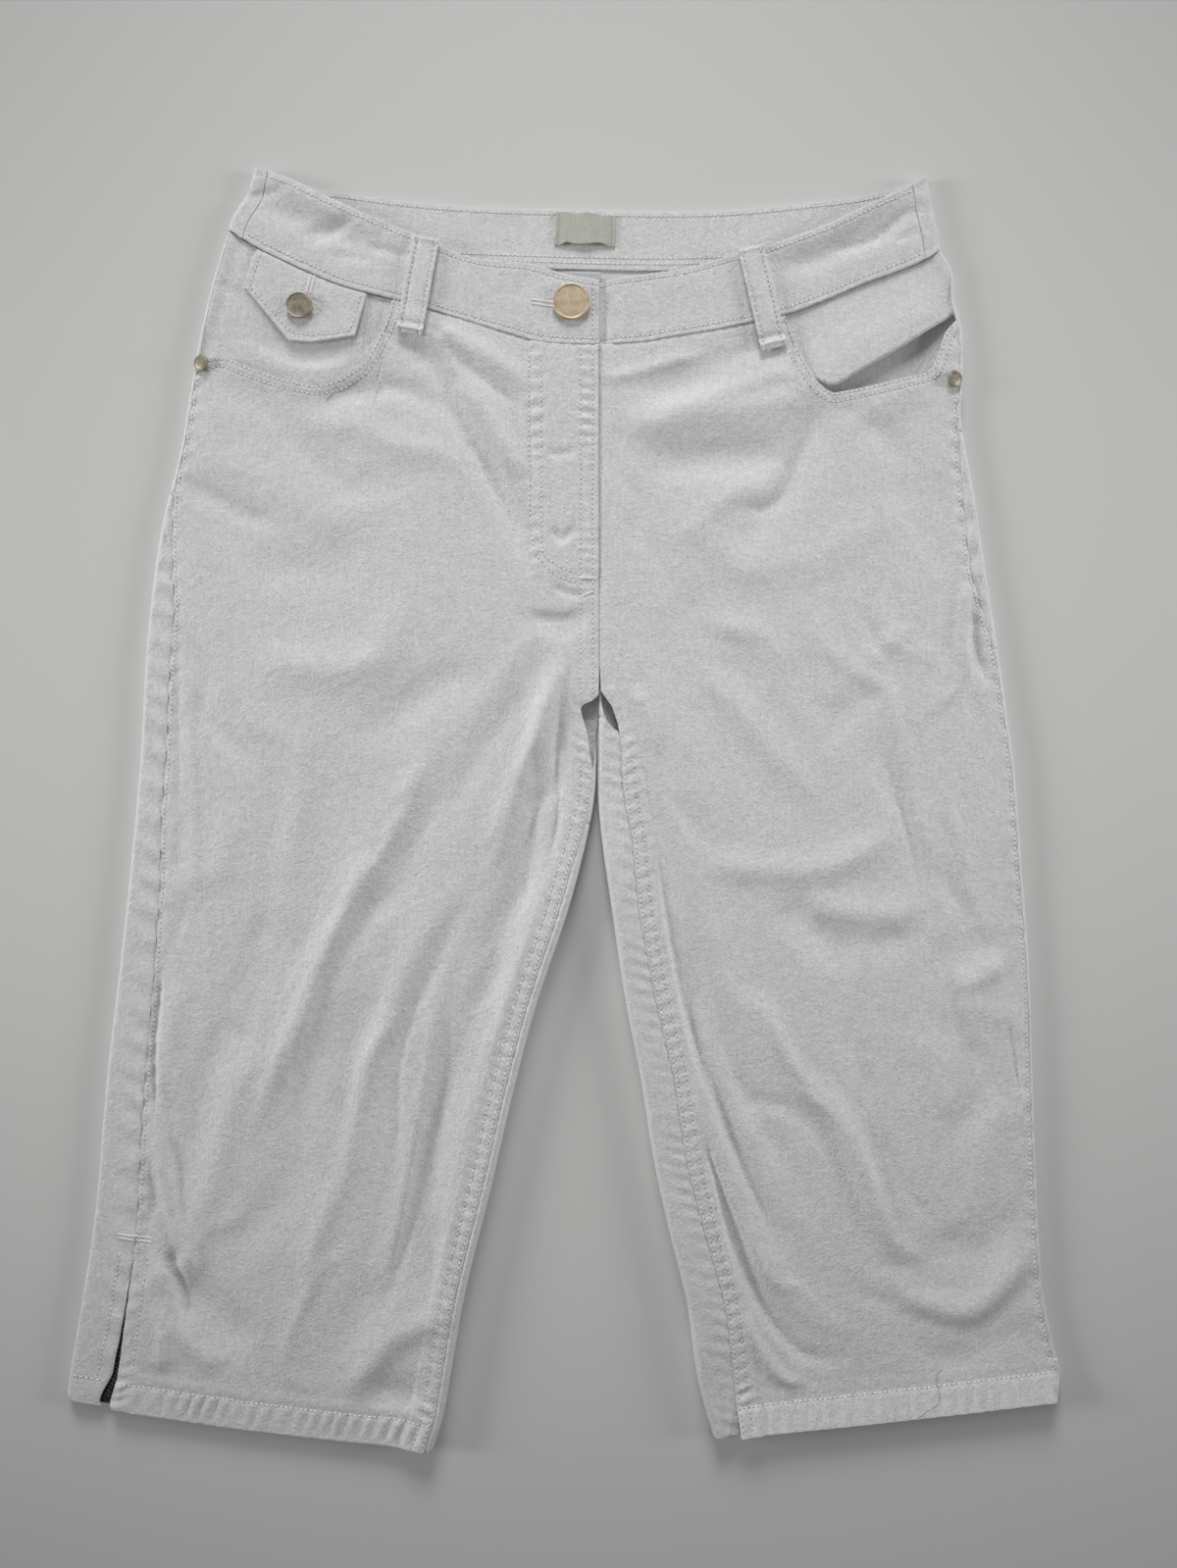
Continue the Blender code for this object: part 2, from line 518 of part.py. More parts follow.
def front_panel(half, finish):
    """One leg's front: a sheet from the scooped pocket and waist seam to the hem."""
    columns = FRONT_COLUMNS[half.side]
    shares = [column_rows(half, half.scoop_start(column)) for column in columns]
    upper, lower = [], []
    for row in range(len(ROW_LEVELS)):
        upper_row, lower_row = [], []
        for column, rows in zip(columns, shares):
            t = rows[row]
            inset = half.front_inset(column, t)
            x, y = half.on_row(inset, t)
            z = half.top(inset, t)
            wall = CLOTH + (HEM_WALL - CLOTH) * hem_share(half, t)
            if half.side == "right" and row < ROW_LEVELS.index(MERGE_LEVEL):
                fly = smoothstep(CENTRE_X - FLY_WIDTH - FLY_STEP, CENTRE_X - FLY_WIDTH, x)
                z += FLY_EXTRA / 2 * fly
                wall += FLY_EXTRA * fly
            upper_row.append((x, y, z))
            lower_row.append((x, y, z - wall))
        upper.append(upper_row)
        lower.append(lower_row)
    return slab(f"front_panel_{half.side}", upper, lower, finish)


def roll_points(place, strip, height_at, wall, radius, turn=1.0):
    """Outside and inside points of a rolled side, from the floor round to its seam.

    place turns a distance from the folded edge and a height into a point, strip is how
    far in the seam lies on top, and turn says how far the roll has gone: up to a half it
    turns from flat to right over, and from there its top arm grows to the whole strip.
    """
    crown = height_at(max(strip, radius))
    arc_end = min(turn * 2, 1.0)
    reach = radius + (strip - radius) * max(turn * 2 - 1, 0.0) if turn < 1 else strip
    side = {0: [], wall: []}
    for thin, points in side.items():
        for k in range(ROLL_POINTS):
            share = k / (ROLL_POINTS - 1)
            shift = 0.0
            if turn <= 0.5:
                angle = -90 + 180 * arc_end * share
                shift = radius * (1 - math.sin(math.radians(180 * min(arc_end, 0.5))))
            elif reach > radius:
                angle = -90 + 180 * min(share / ARC_SHARE, 1)
            else:
                end = math.degrees(math.acos((radius - reach) / (radius - thin)))
                angle = -90 + (90 + end) * share
            if reach > radius and share > ARC_SHARE and turn > 0.5:
                along = (share - ARC_SHARE) / (1 - ARC_SHARE)
                distance = radius + (reach - radius) * along
                points.append(place(distance, height_at(distance) - thin))
                continue
            top = height_at(radius) if reach > radius else crown
            rise = (radius - thin) if angle < 0 else (top - radius - thin)
            points.append(place(
                radius - shift - (radius - thin) * math.cos(math.radians(angle)),
                radius + rise * math.sin(math.radians(angle))))
    return side[0], side[wall]


def back_panel(half, finish):
    """One leg's back: on the floor, round both sides and over to the seams on top."""
    start = half.scoop_start(0)
    rows = [share * start for share in MOUTH_ROWS] + column_rows(half, start)
    sections = []
    for t in rows:
        seam, slit, inseam = half.insets(t)
        wall = CLOTH + (HEM_WALL - CLOTH) * hem_share(half, t)
        outside, inside = roll_points(
            lambda d, z: np.array([*half.on_row(d, t), z]), seam - SEAM_GAP / 2,
            lambda d: half.top(d, t), wall, FOLD_RADIUS)
        outside.reverse()
        inside.reverse()
        turn = fork_share(half.row_points(t)[1][1])
        edge = half.width(t) - (CENTRE_HALF_GAP if turn == 0 else 0)
        if turn == 0:
            floor_end = edge - CENTRE_RUN
            far_outside, far_inside = [], []
            for k in range(ROLL_POINTS):
                inset = floor_end + (edge - floor_end) * k / (ROLL_POINTS - 1)
                x, y = half.on_row(inset, t, back=True)
                far_outside.append(np.array([x, y, 0]))
                far_inside.append(np.array([x, y, wall]))
        else:
            far_outside, far_inside = roll_points(
                lambda d, z: np.array([*half.on_row(edge - d, t), z]),
                half.width(t) - inseam - SEAM_GAP / 2,
                lambda d: half.top(edge - d, t), wall, FOLD_RADIUS, turn)
            lifted = 2 * turn if turn < 0.25 else min(turn, 0.5)
            floor_end = edge - FOLD_RADIUS * math.sin(math.pi * lifted)
        for k in range(1, FLOOR_POINTS + 1):
            inset = FOLD_RADIUS + (floor_end - FOLD_RADIUS) * k / (FLOOR_POINTS + 1)
            x, y = half.on_row(inset, t, back=True)
            outside.append(np.array([x, y, 0]))
            inside.append(np.array([x, y, wall]))
        outside += far_outside
        inside += far_inside
        sections.append(outside + inside[::-1])
    return sleeve(f"back_panel_{half.side}", sections, finish)


# ---- pockets ----------------------------------------------------------------------------
def pocket_facing_right(half, finish):
    """The panel under the right pocket's open mouth, running on under the front."""
    upper, lower = [], []
    starts = [half.scoop_start(column) for column in FACING_COLUMNS["right"]]
    last_start = max(starts[-4:])
    underlap = FACING_UNDERLAP / half.inner.length
    depths = [(share, 0) for share in MOUTH_ROWS] + [(1, 0), (1, 0.5), (1, 1)]
    for share, under in depths:
        upper_row = []
        for column, start in zip(FACING_COLUMNS["right"], starts):
            bottom = start if start > last_start * 0.8 else last_start
            t = SEAM_SHARE + (bottom - SEAM_SHARE) * share + underlap * under
            inset = half.front_inset(column, t)
            x, y = half.on_row(inset, t)
            sag = FACING_MOUTH_DROP * (1 - under)
            sag *= smoothstep(*FACING_SAG_Y, y) * smoothstep(*FACING_SAG_INSET, inset)
            upper_row.append((x, y, half.top(inset, t, False) - FACING_DROP - sag))
        upper.append(upper_row)
        lower.append([(x, y, z - CLOTH) for x, y, z in upper_row])
    return slab("pocket_facing_right", upper, lower, finish)


def pocket_facing_left(half, finish):
    """The left facing has slid down: it bags out, rolls under and tucks back in."""
    line = Curve(FACING_ROLL)
    length = half.inner.length
    sections = []
    for column in FACING_COLUMNS["left"]:
        end = half.mouth_end(column, line, FACING_ROLL[0][0]) * length
        seam_x = half.on_row(half.front_inset(column, 0), 0)[0]
        bulge = FACING_ROLL_RISE * smoothstep(*FACING_ROLL_X, seam_x) * smoothstep(0, 0.1, column)

        def place(distance, rise):
            t = distance / length
            inset = half.front_inset(column, t) + SEAM_GAP * 2 * (1 - column)
            x, y = half.on_row(inset, t)
            lift = bulge * smoothstep(4, end - 5, distance)
            return np.array([x, y, half.top(inset, t, False) - FACING_DROP + lift + rise])

        radius, first = FACING_ROLL_RADIUS, SEAM_SHARE * length
        turn_at = end - radius
        outside, inside = [], []
        for k in range(FACING_FLAT_POINTS):
            distance = first + (turn_at - first) * k / (FACING_FLAT_POINTS - 1)
            outside.append(place(distance, 0))
            inside.append(place(distance, -CLOTH))
        for k in range(1, FACING_TURN_POINTS + 1):
            angle = math.pi * k / FACING_TURN_POINTS
            for points, thin in ((outside, 0), (inside, CLOTH)):
                points.append(place(turn_at + (radius - thin) * math.sin(angle),
                                    -radius + (radius - thin) * math.cos(angle)))
        tuck = min(FACING_ROLL_TUCK, turn_at - first - 1)
        outside.append(place(turn_at - tuck, -2 * radius))
        inside.append(place(turn_at - tuck, -2 * radius + CLOTH))
        sections.append(outside + inside[::-1])
    return sleeve("pocket_facing_left", sections, finish)


def coin_pocket_flap(finish):
    """The pointed flap over the coin pocket, on the right facing."""
    upper, lower = [], []
    lower_edge = Curve(FLAP_LOWER, smooth=False)
    for v in np.arange(6) / 5:
        upper_row = []
        for u in np.arange(9) / 8:
            top_x = FLAP_UPPER_X[0] + (FLAP_UPPER_X[1] - FLAP_UPPER_X[0]) * u
            top = np.array([top_x, WAIST.y_at_x(top_x) - SEAM_GAP * 2])
            x, y = top + (lower_edge.at(u) - top) * v
            z = body_height(x, y) - FACING_DROP + LAYER_GAP + FLAP_WALL
            upper_row.append((x, y, z))
        upper.append(upper_row)
        lower.append([(x, y, z - FLAP_WALL) for x, y, z in upper_row])
    return slab("coin_pocket_flap", upper, lower, finish)


# ---- waistband --------------------------------------------------------------------------
BAND_TOP = {"right": Curve(BAND_TOP_RIGHT), "left": Curve(BAND_TOP_LEFT),
            "back": Curve(BAND_TOP_BACK)}
BAND_EDGE = {side: Curve(points) for side, points in BAND_SIDE.items()}


def band_front_point(side, inset, v):
    """A point of the front band, inset from its side fold, v of the way up."""
    outer = BAND_EDGE[side].at(v)
    seam_x = BAND_SIDE[side][0][0]
    top_x = BAND_SIDE[side][-1][0]
    share = inset / abs(CENTRE_X - seam_x)
    low_x = seam_x + (CENTRE_X - seam_x) * share
    high_x = top_x + (CENTRE_X - top_x) * share
    top = BAND_TOP[side]
    if (low_x - CENTRE_X) * (1 if side == "left" else -1) < 0:
        top = BAND_TOP["left" if side == "right" else "right"]
    seam_gap = BAND_SEAM_OFFSET * (2 - smoothstep(5, 30, inset))
    low = np.array([low_x, WAIST.y_at_x(low_x) + seam_gap])
    high = np.array([high_x, top.y_at_x(high_x)])
    bulge = outer - (BAND_EDGE[side].at(0) * (1 - v) + BAND_EDGE[side].at(1) * v)
    return low + (high - low) * v + bulge * max(1 - share, 0)


def band_back_point(share, v):
    left, right = BAND_EDGE["right"].at(v), BAND_EDGE["left"].at(v)
    low_x = BAND_SIDE["right"][0][0] * (1 - share) + BAND_SIDE["left"][0][0] * share
    high_x = BAND_SIDE["right"][-1][0] * (1 - share) + BAND_SIDE["left"][-1][0] * share
    y = ((BACK_WAIST.y_at_x(low_x) + BAND_SEAM_OFFSET * 2) * (1 - v)
         + BAND_TOP["back"].y_at_x(high_x) * v)
    return np.array([left[0] + (right[0] - left[0]) * share, y])


def band_top(x, y, inset):
    return rolled(band_height(x, y), inset, BAND_FOLD_RADIUS)


def waistband_back(finish):
    """The back band, round both side folds to its joins with the front bands."""
    sections = []
    for v in BAND_ROWS:
        rolls = {}
        for side in ("right", "left"):
            rolls[side] = roll_points(
                lambda d, z: np.array([*band_front_point(side, d, v), z]),
                BAND_SIDE_SEAM - SEAM_GAP / 2,
                lambda d: band_top(*band_front_point(side, d, v), d),
                BAND_WALL, BAND_FOLD_RADIUS)
        outside, inside = rolls["right"][0][::-1], rolls["right"][1][::-1]
        for k in range(1, BAND_FLOOR_POINTS + 1):
            x, y = band_back_point(k / (BAND_FLOOR_POINTS + 1), v)
            outside.append(np.array([x, y, 0]))
            inside.append(np.array([x, y, BAND_WALL]))
        outside += rolls["left"][0]
        inside += rolls["left"][1]
        sections.append(outside + inside[::-1])
    return sleeve("waistband_back", sections, finish)


def waistband_front(side, finish):
    """Half of the front band; the left one runs on under the right one's end."""
    full = abs(CENTRE_X - BAND_SIDE[side][0][0])
    end = full - CENTRE_HALF_GAP if side == "right" else full + UNDERLAP
    start = BAND_SIDE_SEAM + SEAM_GAP / 2
    insets = np.linspace(start, end, BAND_COLUMNS)
    if side == "left":
        step_start, step_end = (full - distance for distance in UNDERLAP_STEP)
        insets = np.concatenate([
            np.linspace(start, step_start, BAND_COLUMNS - UNDERLAP_COLUMNS),
            np.linspace(step_end, end, UNDERLAP_COLUMNS)])
    upper, lower = [], []
    for v in BAND_ROWS:
        upper_row = []
        for inset in insets:
            x, y = band_front_point(side, inset, v)
            z = band_top(x, y, inset)
            if side == "left":
                z -= UNDERLAP_DROP * smoothstep(step_start, step_end, inset)
                y -= v if inset > full else 0
            upper_row.append((x, y, z))
        upper.append(upper_row)
        lower.append([(x, y, z - BAND_WALL) for x, y, z in upper_row])
    return slab(f"waistband_front_{side}", upper, lower, finish)


def outer_surface(x, y):
    """Highest cloth at a point of the front, round the waist seam."""
    height = band_height(x, y) if y > WAIST.y_at_x(x) - 4 else 0
    if y < WAIST.y_at_x(x) + 4:
        body = body_height(x, y)
        for side, (rise, flank) in SCOOP_RISE.items():
            body += ridge(x, y, rise, flank, flank, SCOOP_LINES[side])
        height = max(height, body)
    return height


def belt_loop(side, finish):
    """A loop standing a little off the band, sewn down at both ends."""
    top, foot = (np.array(end) for end in LOOPS[side])
    run = (foot - top) / np.linalg.norm(foot - top)
    across = np.array([-run[1], run[0]]) * LOOP_WIDTH / 2
    upper, lower = [], []
    for v in np.arange(9) / 8:
        centre = top + (foot - top) * v
        near = [centre + across * side_share + run * step
                for side_share in (-1, 0, 1)
                for step in (-LOOP_CLEARANCE, 0, LOOP_CLEARANCE)]
        z = max(outer_surface(*point) for point in near)
        z += LAYER_GAP + LOOP_ARCH * math.sin(math.pi * v)
        lower.append([(*(centre + across * u), z) for u in (-1, -0.35, 0.35, 1)])
        upper.append([(x, y, z + LOOP_WALL) for x, y, z in lower[-1]])
    return slab(f"belt_loop_{side}", upper, lower, finish)


def flat_patch(name, corners, base, wall, finish):
    """A small rectangle of ribbon lying flat at a height."""
    a, b, c, d = (np.array(corner) for corner in corners)
    upper = [[(*(a + (b - a) * u + (d - a + (c - b - d + a) * u) * v), base + wall)
              for u in np.arange(5) / 4] for v in np.arange(3) / 2]
    lower = [[(x, y, base) for x, y, z in row] for row in upper]
    return slab(name, upper, lower, finish)


# ---- metal ------------------------------------------------------------------------------
WAIST_BUTTON_PROFILE = [(0, 0), (3.4, 0), (3.4, 0.9), (9.2, 0.9), (10.4, 1.5), (10.4, 2.2),
                        (9.7, 2.9), (8.7, 2.8), (8.2, 2.4), (0, 2.4)]
COIN_BUTTON_PROFILE = [(0, 0), (3.0, 0), (3.0, 0.8), (6.4, 0.8), (7.5, 1.4), (7.3, 2.2),
                       (6.4, 2.7), (5.2, 2.5), (0, 2.7)]
RIVET_PROFILE = [(0, 0), (RIVET_RADIUS, 0), (RIVET_RADIUS, 0.5), (4.2, 1.0), (2.9, 0.9),
                 (2.2, 1.5), (0, 1.7)]


def rivet(side, finish):
    x, y = RIVETS[side]
    half = HALVES[side]
    lean = -RIVET_LEAN * half.sign
    slope = math.tan(math.radians(lean))
    spots = []
    for angle in np.arange(0, 2 * math.pi, math.pi / 6):
        for radius in (0, RIVET_RADIUS / 2, RIVET_RADIUS):
            dx, dy = radius * math.cos(angle), radius * math.sin(angle)
            t = half.outer.share_at_y(y + dy)
            inset = abs(x + dx - half.outer.at(t)[0])
            spots.append(half.top(inset, t) - slope * dx)
    return turned(f"rivet_{side}", RIVET_PROFILE, np.array([x, y, max(spots) + LAYER_GAP]),
                  finish, segments=16, lean=lean)


def ankle_zip(half, tape_finish, metal_finish):
    """The zip behind the right leg's side slit: its tape, and the stop at the hem."""
    start = half.outer.share_at_y(ZIP_TOP_Y)
    upper = []
    for t in np.linspace(start, ZIP_END_SHARE, 7):
        seam, slit, inseam = half.insets(t)
        row = []
        for u in (-1, -0.4, 0.4, 1):
            inset = seam + slit / 2 + ZIP_HALF_WIDTH * u
            x, y = half.on_row(inset, t)
            row.append((x, y, half.top(inset, t) - HEM_WALL - LAYER_GAP - 0.1))
        upper.append(row)
    lower = [[(x, y, z - ZIP_WALL) for x, y, z in row] for row in upper]
    slab("ankle_zip_tape_right", upper, lower, tape_finish)
    width, length, height = ZIP_STOP
    seam, slit, inseam = half.insets(0.995)
    middle = half.on_row(seam + slit * 0.6, 0.996)
    base = max(point[2] for point in upper[-1]) + LAYER_GAP
    corners = [(middle[0] + width * u / 2, middle[1] + length * v)
               for u, v in ((-1, 0), (1, 0), (1, 1), (-1, 1))]
    flat_patch("ankle_zip_stop_right", corners, base, height, metal_finish)


# ---- build ------------------------------------------------------------------------------
for leftover in list(bpy.data.objects):
    bpy.data.objects.remove(leftover)

for half in HALVES.values():
    front_panel(half, TWILL)
    back_panel(half, TWILL)
pocket_facing_right(HALVES["right"], TWILL)
pocket_facing_left(HALVES["left"], TWILL)
coin_pocket_flap(TWILL)
waistband_back(TWILL)
for side in HALVES:
    waistband_front(side, TWILL)
    belt_loop(side, TWILL)
    rivet(side, OLD_BRASS)
flat_patch("waist_label", LABEL_CORNERS, BAND_WALL + LAYER_GAP, LABEL_WALL, LABEL_RIBBON)
flat_patch("size_tag", TAG_CORNERS, CLOTH + LAYER_GAP, LABEL_WALL, TWILL)

x, y = WAIST_BUTTON["at"]
turned("waist_button", WAIST_BUTTON_PROFILE,
       np.array([x, y, BAND_HEIGHT + LAYER_GAP]), ROSE_GOLD, segments=32)
x, y = COIN_BUTTON["at"]
flap_top = body_height(x, y) - FACING_DROP + LAYER_GAP + FLAP_WALL
turned("coin_button", COIN_BUTTON_PROFILE, np.array([x, y, flap_top + LAYER_GAP * 2]),
       OLD_BRASS, segments=24)
ankle_zip(HALVES["right"], BLACK_TAPE, STEEL)
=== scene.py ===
# %% [markdown]
# # White capri pants, laid flat
# A pair of cropped cotton trousers lies on a pale floor with its front up. Every panel of
# the sewing pattern is its own sheet of cloth here, moved on to the form in which the
# pants lie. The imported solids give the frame, and each sheet takes the place of one.

# %% Load the frame
import math

import bmesh
import bpy
import numpy as np
from mathutils import Matrix, Vector
from mathutils.bvhtree import BVHTree


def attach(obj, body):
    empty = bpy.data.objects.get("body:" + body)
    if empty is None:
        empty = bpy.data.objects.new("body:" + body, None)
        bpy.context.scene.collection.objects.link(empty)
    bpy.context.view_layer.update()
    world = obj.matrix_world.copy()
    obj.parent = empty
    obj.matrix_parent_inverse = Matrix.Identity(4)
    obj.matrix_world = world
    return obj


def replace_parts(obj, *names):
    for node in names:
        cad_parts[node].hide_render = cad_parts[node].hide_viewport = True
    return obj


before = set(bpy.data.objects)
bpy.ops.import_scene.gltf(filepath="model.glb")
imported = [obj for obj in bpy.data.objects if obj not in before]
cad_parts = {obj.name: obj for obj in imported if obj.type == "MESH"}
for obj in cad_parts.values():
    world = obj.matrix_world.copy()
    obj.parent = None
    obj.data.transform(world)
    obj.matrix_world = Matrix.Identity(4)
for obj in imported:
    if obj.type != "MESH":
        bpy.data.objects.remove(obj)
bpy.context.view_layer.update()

MM = 0.001
print("nodes in the frame:", len(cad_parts))

# %% [markdown]
# ## Camera
# The view is straight down, as from a hand held over the floor. The lens is a wide one, so
# the height over the floor decides how much is seen.

# %% Camera
VIEW_X, VIEW_Y = 13.9, 13.6         # millimetres from the middle of the footprint
VIEW_LONG_SIDE = 895.4
SIZED_AT = 4.0                      # height at which the view is that long
CAMERA_OVER = 650.0
SENSOR = 24.0

camera_data = bpy.data.cameras.new("camera_over_floor")
camera_data.sensor_fit = "VERTICAL"
camera_data.sensor_height = SENSOR
camera_data.lens = SENSOR * (CAMERA_OVER - SIZED_AT) / VIEW_LONG_SIDE
camera_data.clip_start = 0.01
camera = bpy.data.objects.new("camera_over_floor", camera_data)
camera.location = (VIEW_X * MM, VIEW_Y * MM, CAMERA_OVER * MM)
bpy.context.collection.objects.link(camera)
bpy.context.scene.camera = camera
print("lens, mm:", round(camera_data.lens, 1))

# %% [markdown]
# ## Light
# A room with pale walls: a wide soft window beyond the waist, a paler light from each side
# and a little from everywhere. The low light from the sides is what lets the gap between
# the legs go grey on both its edges.

# %% Light
# place, what it's aimed at, watts, cone in degrees, radius
LAMPS = {
    "window": ((-0.12, 2.15, 1.06), (0.03, 0.31, 0), 140.0, 43.5, 0.50),
    "left_wall": ((-1.9, 0.16, 0.66), (-0.07, 0.05, 0), 79.0, 40.0, 0.32),
    "right_wall": ((1.9, 0.16, 0.66), (0.04, 0.10, 0), 65.0, 38.0, 0.32),
}
SKY_STRENGTH = 0.15

for name, (place, aim, watts, cone, radius) in LAMPS.items():
    lamp_data = bpy.data.lights.new(name, "SPOT")
    lamp_data.energy = watts
    lamp_data.color = (1.0, 0.99, 0.975)
    lamp_data.spot_size = math.radians(cone)
    lamp_data.spot_blend = 1.0
    lamp_data.shadow_soft_size = radius
    lamp = bpy.data.objects.new(name, lamp_data)
    lamp.location = place
    lamp.rotation_euler = (Vector(aim) - Vector(place)).to_track_quat("-Z", "Y").to_euler()
    bpy.context.collection.objects.link(lamp)
sky = bpy.data.worlds.new("pale_sky")
sky.use_nodes = True
sky.node_tree.nodes["Background"].inputs["Color"].default_value = (0.93, 0.96, 1.0, 1)
sky.node_tree.nodes["Background"].inputs["Strength"].default_value = SKY_STRENGTH
bpy.context.scene.world = sky
bpy.context.scene.view_settings.view_transform = "Standard"

# %% [markdown]
# ## Sizes
# A panel's points are worked out in millimetres and turned into metres when they are put
# on a mesh. +X is the wearer's left, +Y runs to the waist. These are the same sizes and
# outlines as the pattern of the solids, so each sheet lies where its solid lies.

# %% Driving sizes
SEAM_GAP = 0.08
LAYER_GAP = 0.3
CLOTH = 1.2
HEM_WALL = 1.9
HEM_DEPTH = 15.5
BAND_WALL = 2.2
FLY_EXTRA = 1.2
FLY_WIDTH = 37.0
LEG_HEIGHT, HIP_HEIGHT, BAND_HEIGHT = 7.5, 7.0, 7.6
LOWEST_TOP, LOWEST_SOFT = 3.2, 0.5
EDGE_LIFT = 5.0                     # the seam allowances inside hold the inner edges up
EDGE_LIFT_FROM_Y, EDGE_LIFT_FULL_Y, EDGE_LIFT_WIDTH = 15.0, -60.0, 17.0
FOLD_RADIUS, BAND_FOLD_RADIUS = 3.2, 3.8
CENTRE_X = 20.0
FORK_START_Y = {"right": 40.0, "left": 70.0}    # here the inner edge starts to turn over
FORK_END_Y = {"right": -8.0, "left": 28.0}      # and here it's folded flat
MERGE_LEVEL = 137.0
SEAM_SHARE = 0.0002

# %% Outlines
OUTER_EDGE = {
    "right": [(-191.7, 329.1), (-200, 302), (-207.3, 271.4), (-211.8, 246), (-219, 203),
              (-230, 158), (-237.5, 98), (-242.5, 17), (-251, -70), (-260, -147),
              (-267, -227), (-273.5, -272), (-278.5, -302), (-283, -331), (-281.5, -337)],
    "left": [(214.6, 317.4), (221, 306.5), (223.5, 287), (227.2, 271), (227.8, 243),
             (226.5, 223), (229.5, 203), (234.5, 175), (241, 132), (247, 93), (253, 50),
             (257, 20), (260, -20), (265.5, -96), (268, -177), (272.5, -267),
             (278, -301), (283, -322), (281, -335)],
}
INNER_EDGE = {
    "right": [(20, 263.6), (20, 209), (20, 148), (20, 92), (20, 60), (19.6, 44),
              (18.2, 30), (18.2, 12), (14.4, -12), (2.7, -57), (-15.5, -111),
              (-28.5, -160), (-40.5, -212), (-56, -275), (-63, -314), (-68.4, -345),
              (-74, -363.6)],
    "left": [(20, 263.6), (20, 209), (20, 148), (20, 92), (20, 60), (19.6, 44),
             (19.2, 30), (19.0, 6), (21.5, -20), (27.5, -61), (34.5, -108), (43.5, -154),
             (51, -201), (60, -242), (70, -283), (75.5, -323), (84.5, -356.3)],
}
HEM_SAG = {"right": 3.0, "left": 1.0}
HEM_CURL = {"right": 0.3, "left": 4.2}
# y, side seam from the edge, width of the slit, inseam from the edge
SEAMS = {
    "right": [(330, 2.2, 0, 0.15), (185, 2.2, 0, 0.15), (158, 7.3, 0, 0.15),
              (115, 14.5, 0, 0.15), (72, 15, 0, 0.15), (64, 15.2, 0, 0.5),
              (60, 15.3, 0, 4.0), (56.5, 15.3, 0, 9.5), (54, 15.4, 0, 10.8),
              (50, 15.4, 0, 9.8), (44, 15.4, 0, 7.4), (36, 15.4, 0, 4.6),
              (24, 15.3, 0, 2.2), (12, 15.3, 0, 1.6), (0, 15.2, 0, 2.6),
              (-40, 18.5, 0, 5.2),
              (-120, 21.8, 0, 5), (-205, 23.8, 0, 5), (-252, 25.8, 0, 5),
              (-289, 25.8, 1.2, 5), (-318, 24.6, 3.2, 5), (-328, 20.8, 5.6, 5),
              (-340, 17.6, 6.4, 5)],
    "left": [(330, 2.2, 0, 0.15), (243, 2.2, 0, 0.15), (220, 2.8, 0, 0.15),
             (180, 7.3, 0, 0.15), (138, 9.5, 0, 0.15), (110, 5.6, 0, 0.15),
             (82, 2.2, 0, 0.15), (66, 2.2, 0, 1.0), (56, 2.2, 0, 7.5), (46, 2.2, 0, 11),
             (36, 2.2, 0, 13), (13, 2.2, 0, 14.6), (-20, 2.2, 0, 17.4), (-61, 2.2, 0, 15.2),
             (-154, 2.2, 0, 18.5), (-212, 2.2, 0, 18.5), (-295, 2.4, 0, 21.3),
             (-323, 2.6, 0, 20.7), (-360, 2.6, 0, 14.8)],
}
SEAM_COLUMN = {"seam": 1, "slit": 2, "inseam": 3}
WAIST_SEAM = [(-191.7, 329.1), (-175, 319), (-159, 311), (-143.5, 304), (-125, 296.6),
              (-95, 288.8), (-53.3, 276.5), (-19.7, 266.4), (-7, 264.2), (20, 263.6),
              (47.5, 265.3), (56, 267), (95, 273.7), (127, 281), (148.3, 288.8),
              (169.5, 297.8), (188, 304.5), (203, 310.6), (214.6, 317.4)]
BACK_WAIST_SEAM = [(-191.7, 329.1), (-150, 320), (-87, 312), (20, 308), (81, 308),
                   (150, 312), (214.6, 317.4)]
SCOOP = {
    "right": [(-207.3, 254), (-193.3, 255.8), (-179, 250.2), (-163, 244.6), (-147.4, 241),
              (-140.7, 240), (-130.6, 242.3), (-121.7, 246.8), (-113.3, 253),
              (-106, 265.8), (-100.4, 278.2), (-97.6, 289.6)],
    "left": [(126, 281), (131, 265.3), (136.5, 253.5), (142.7, 243.4), (151.6, 236.2),
             (161.7, 237.3), (175.7, 240), (194.7, 244.6), (207.6, 248.5), (212, 256),
             (214.5, 264), (218, 272), (225.5, 280)],
}
SCOOP_RISE = {"right": (1.8, 8.0), "left": (1.2, 8.0)}

# %% [markdown]
# ## Lines and hills
# Seams, edges and creases are all smooth lines through a few named points. A crease lifts
# or sinks the cloth by a bell across its line. Distances to a line are worked out for all
# the points of a sheet at once, which keeps a sheet of fifty thousand points quick.

# %% Smooth lines


def smoothstep(low, high, value):
    share = np.clip((value - low) / (high - low), 0.0, 1.0)
    return share * share * (3 - 2 * share)


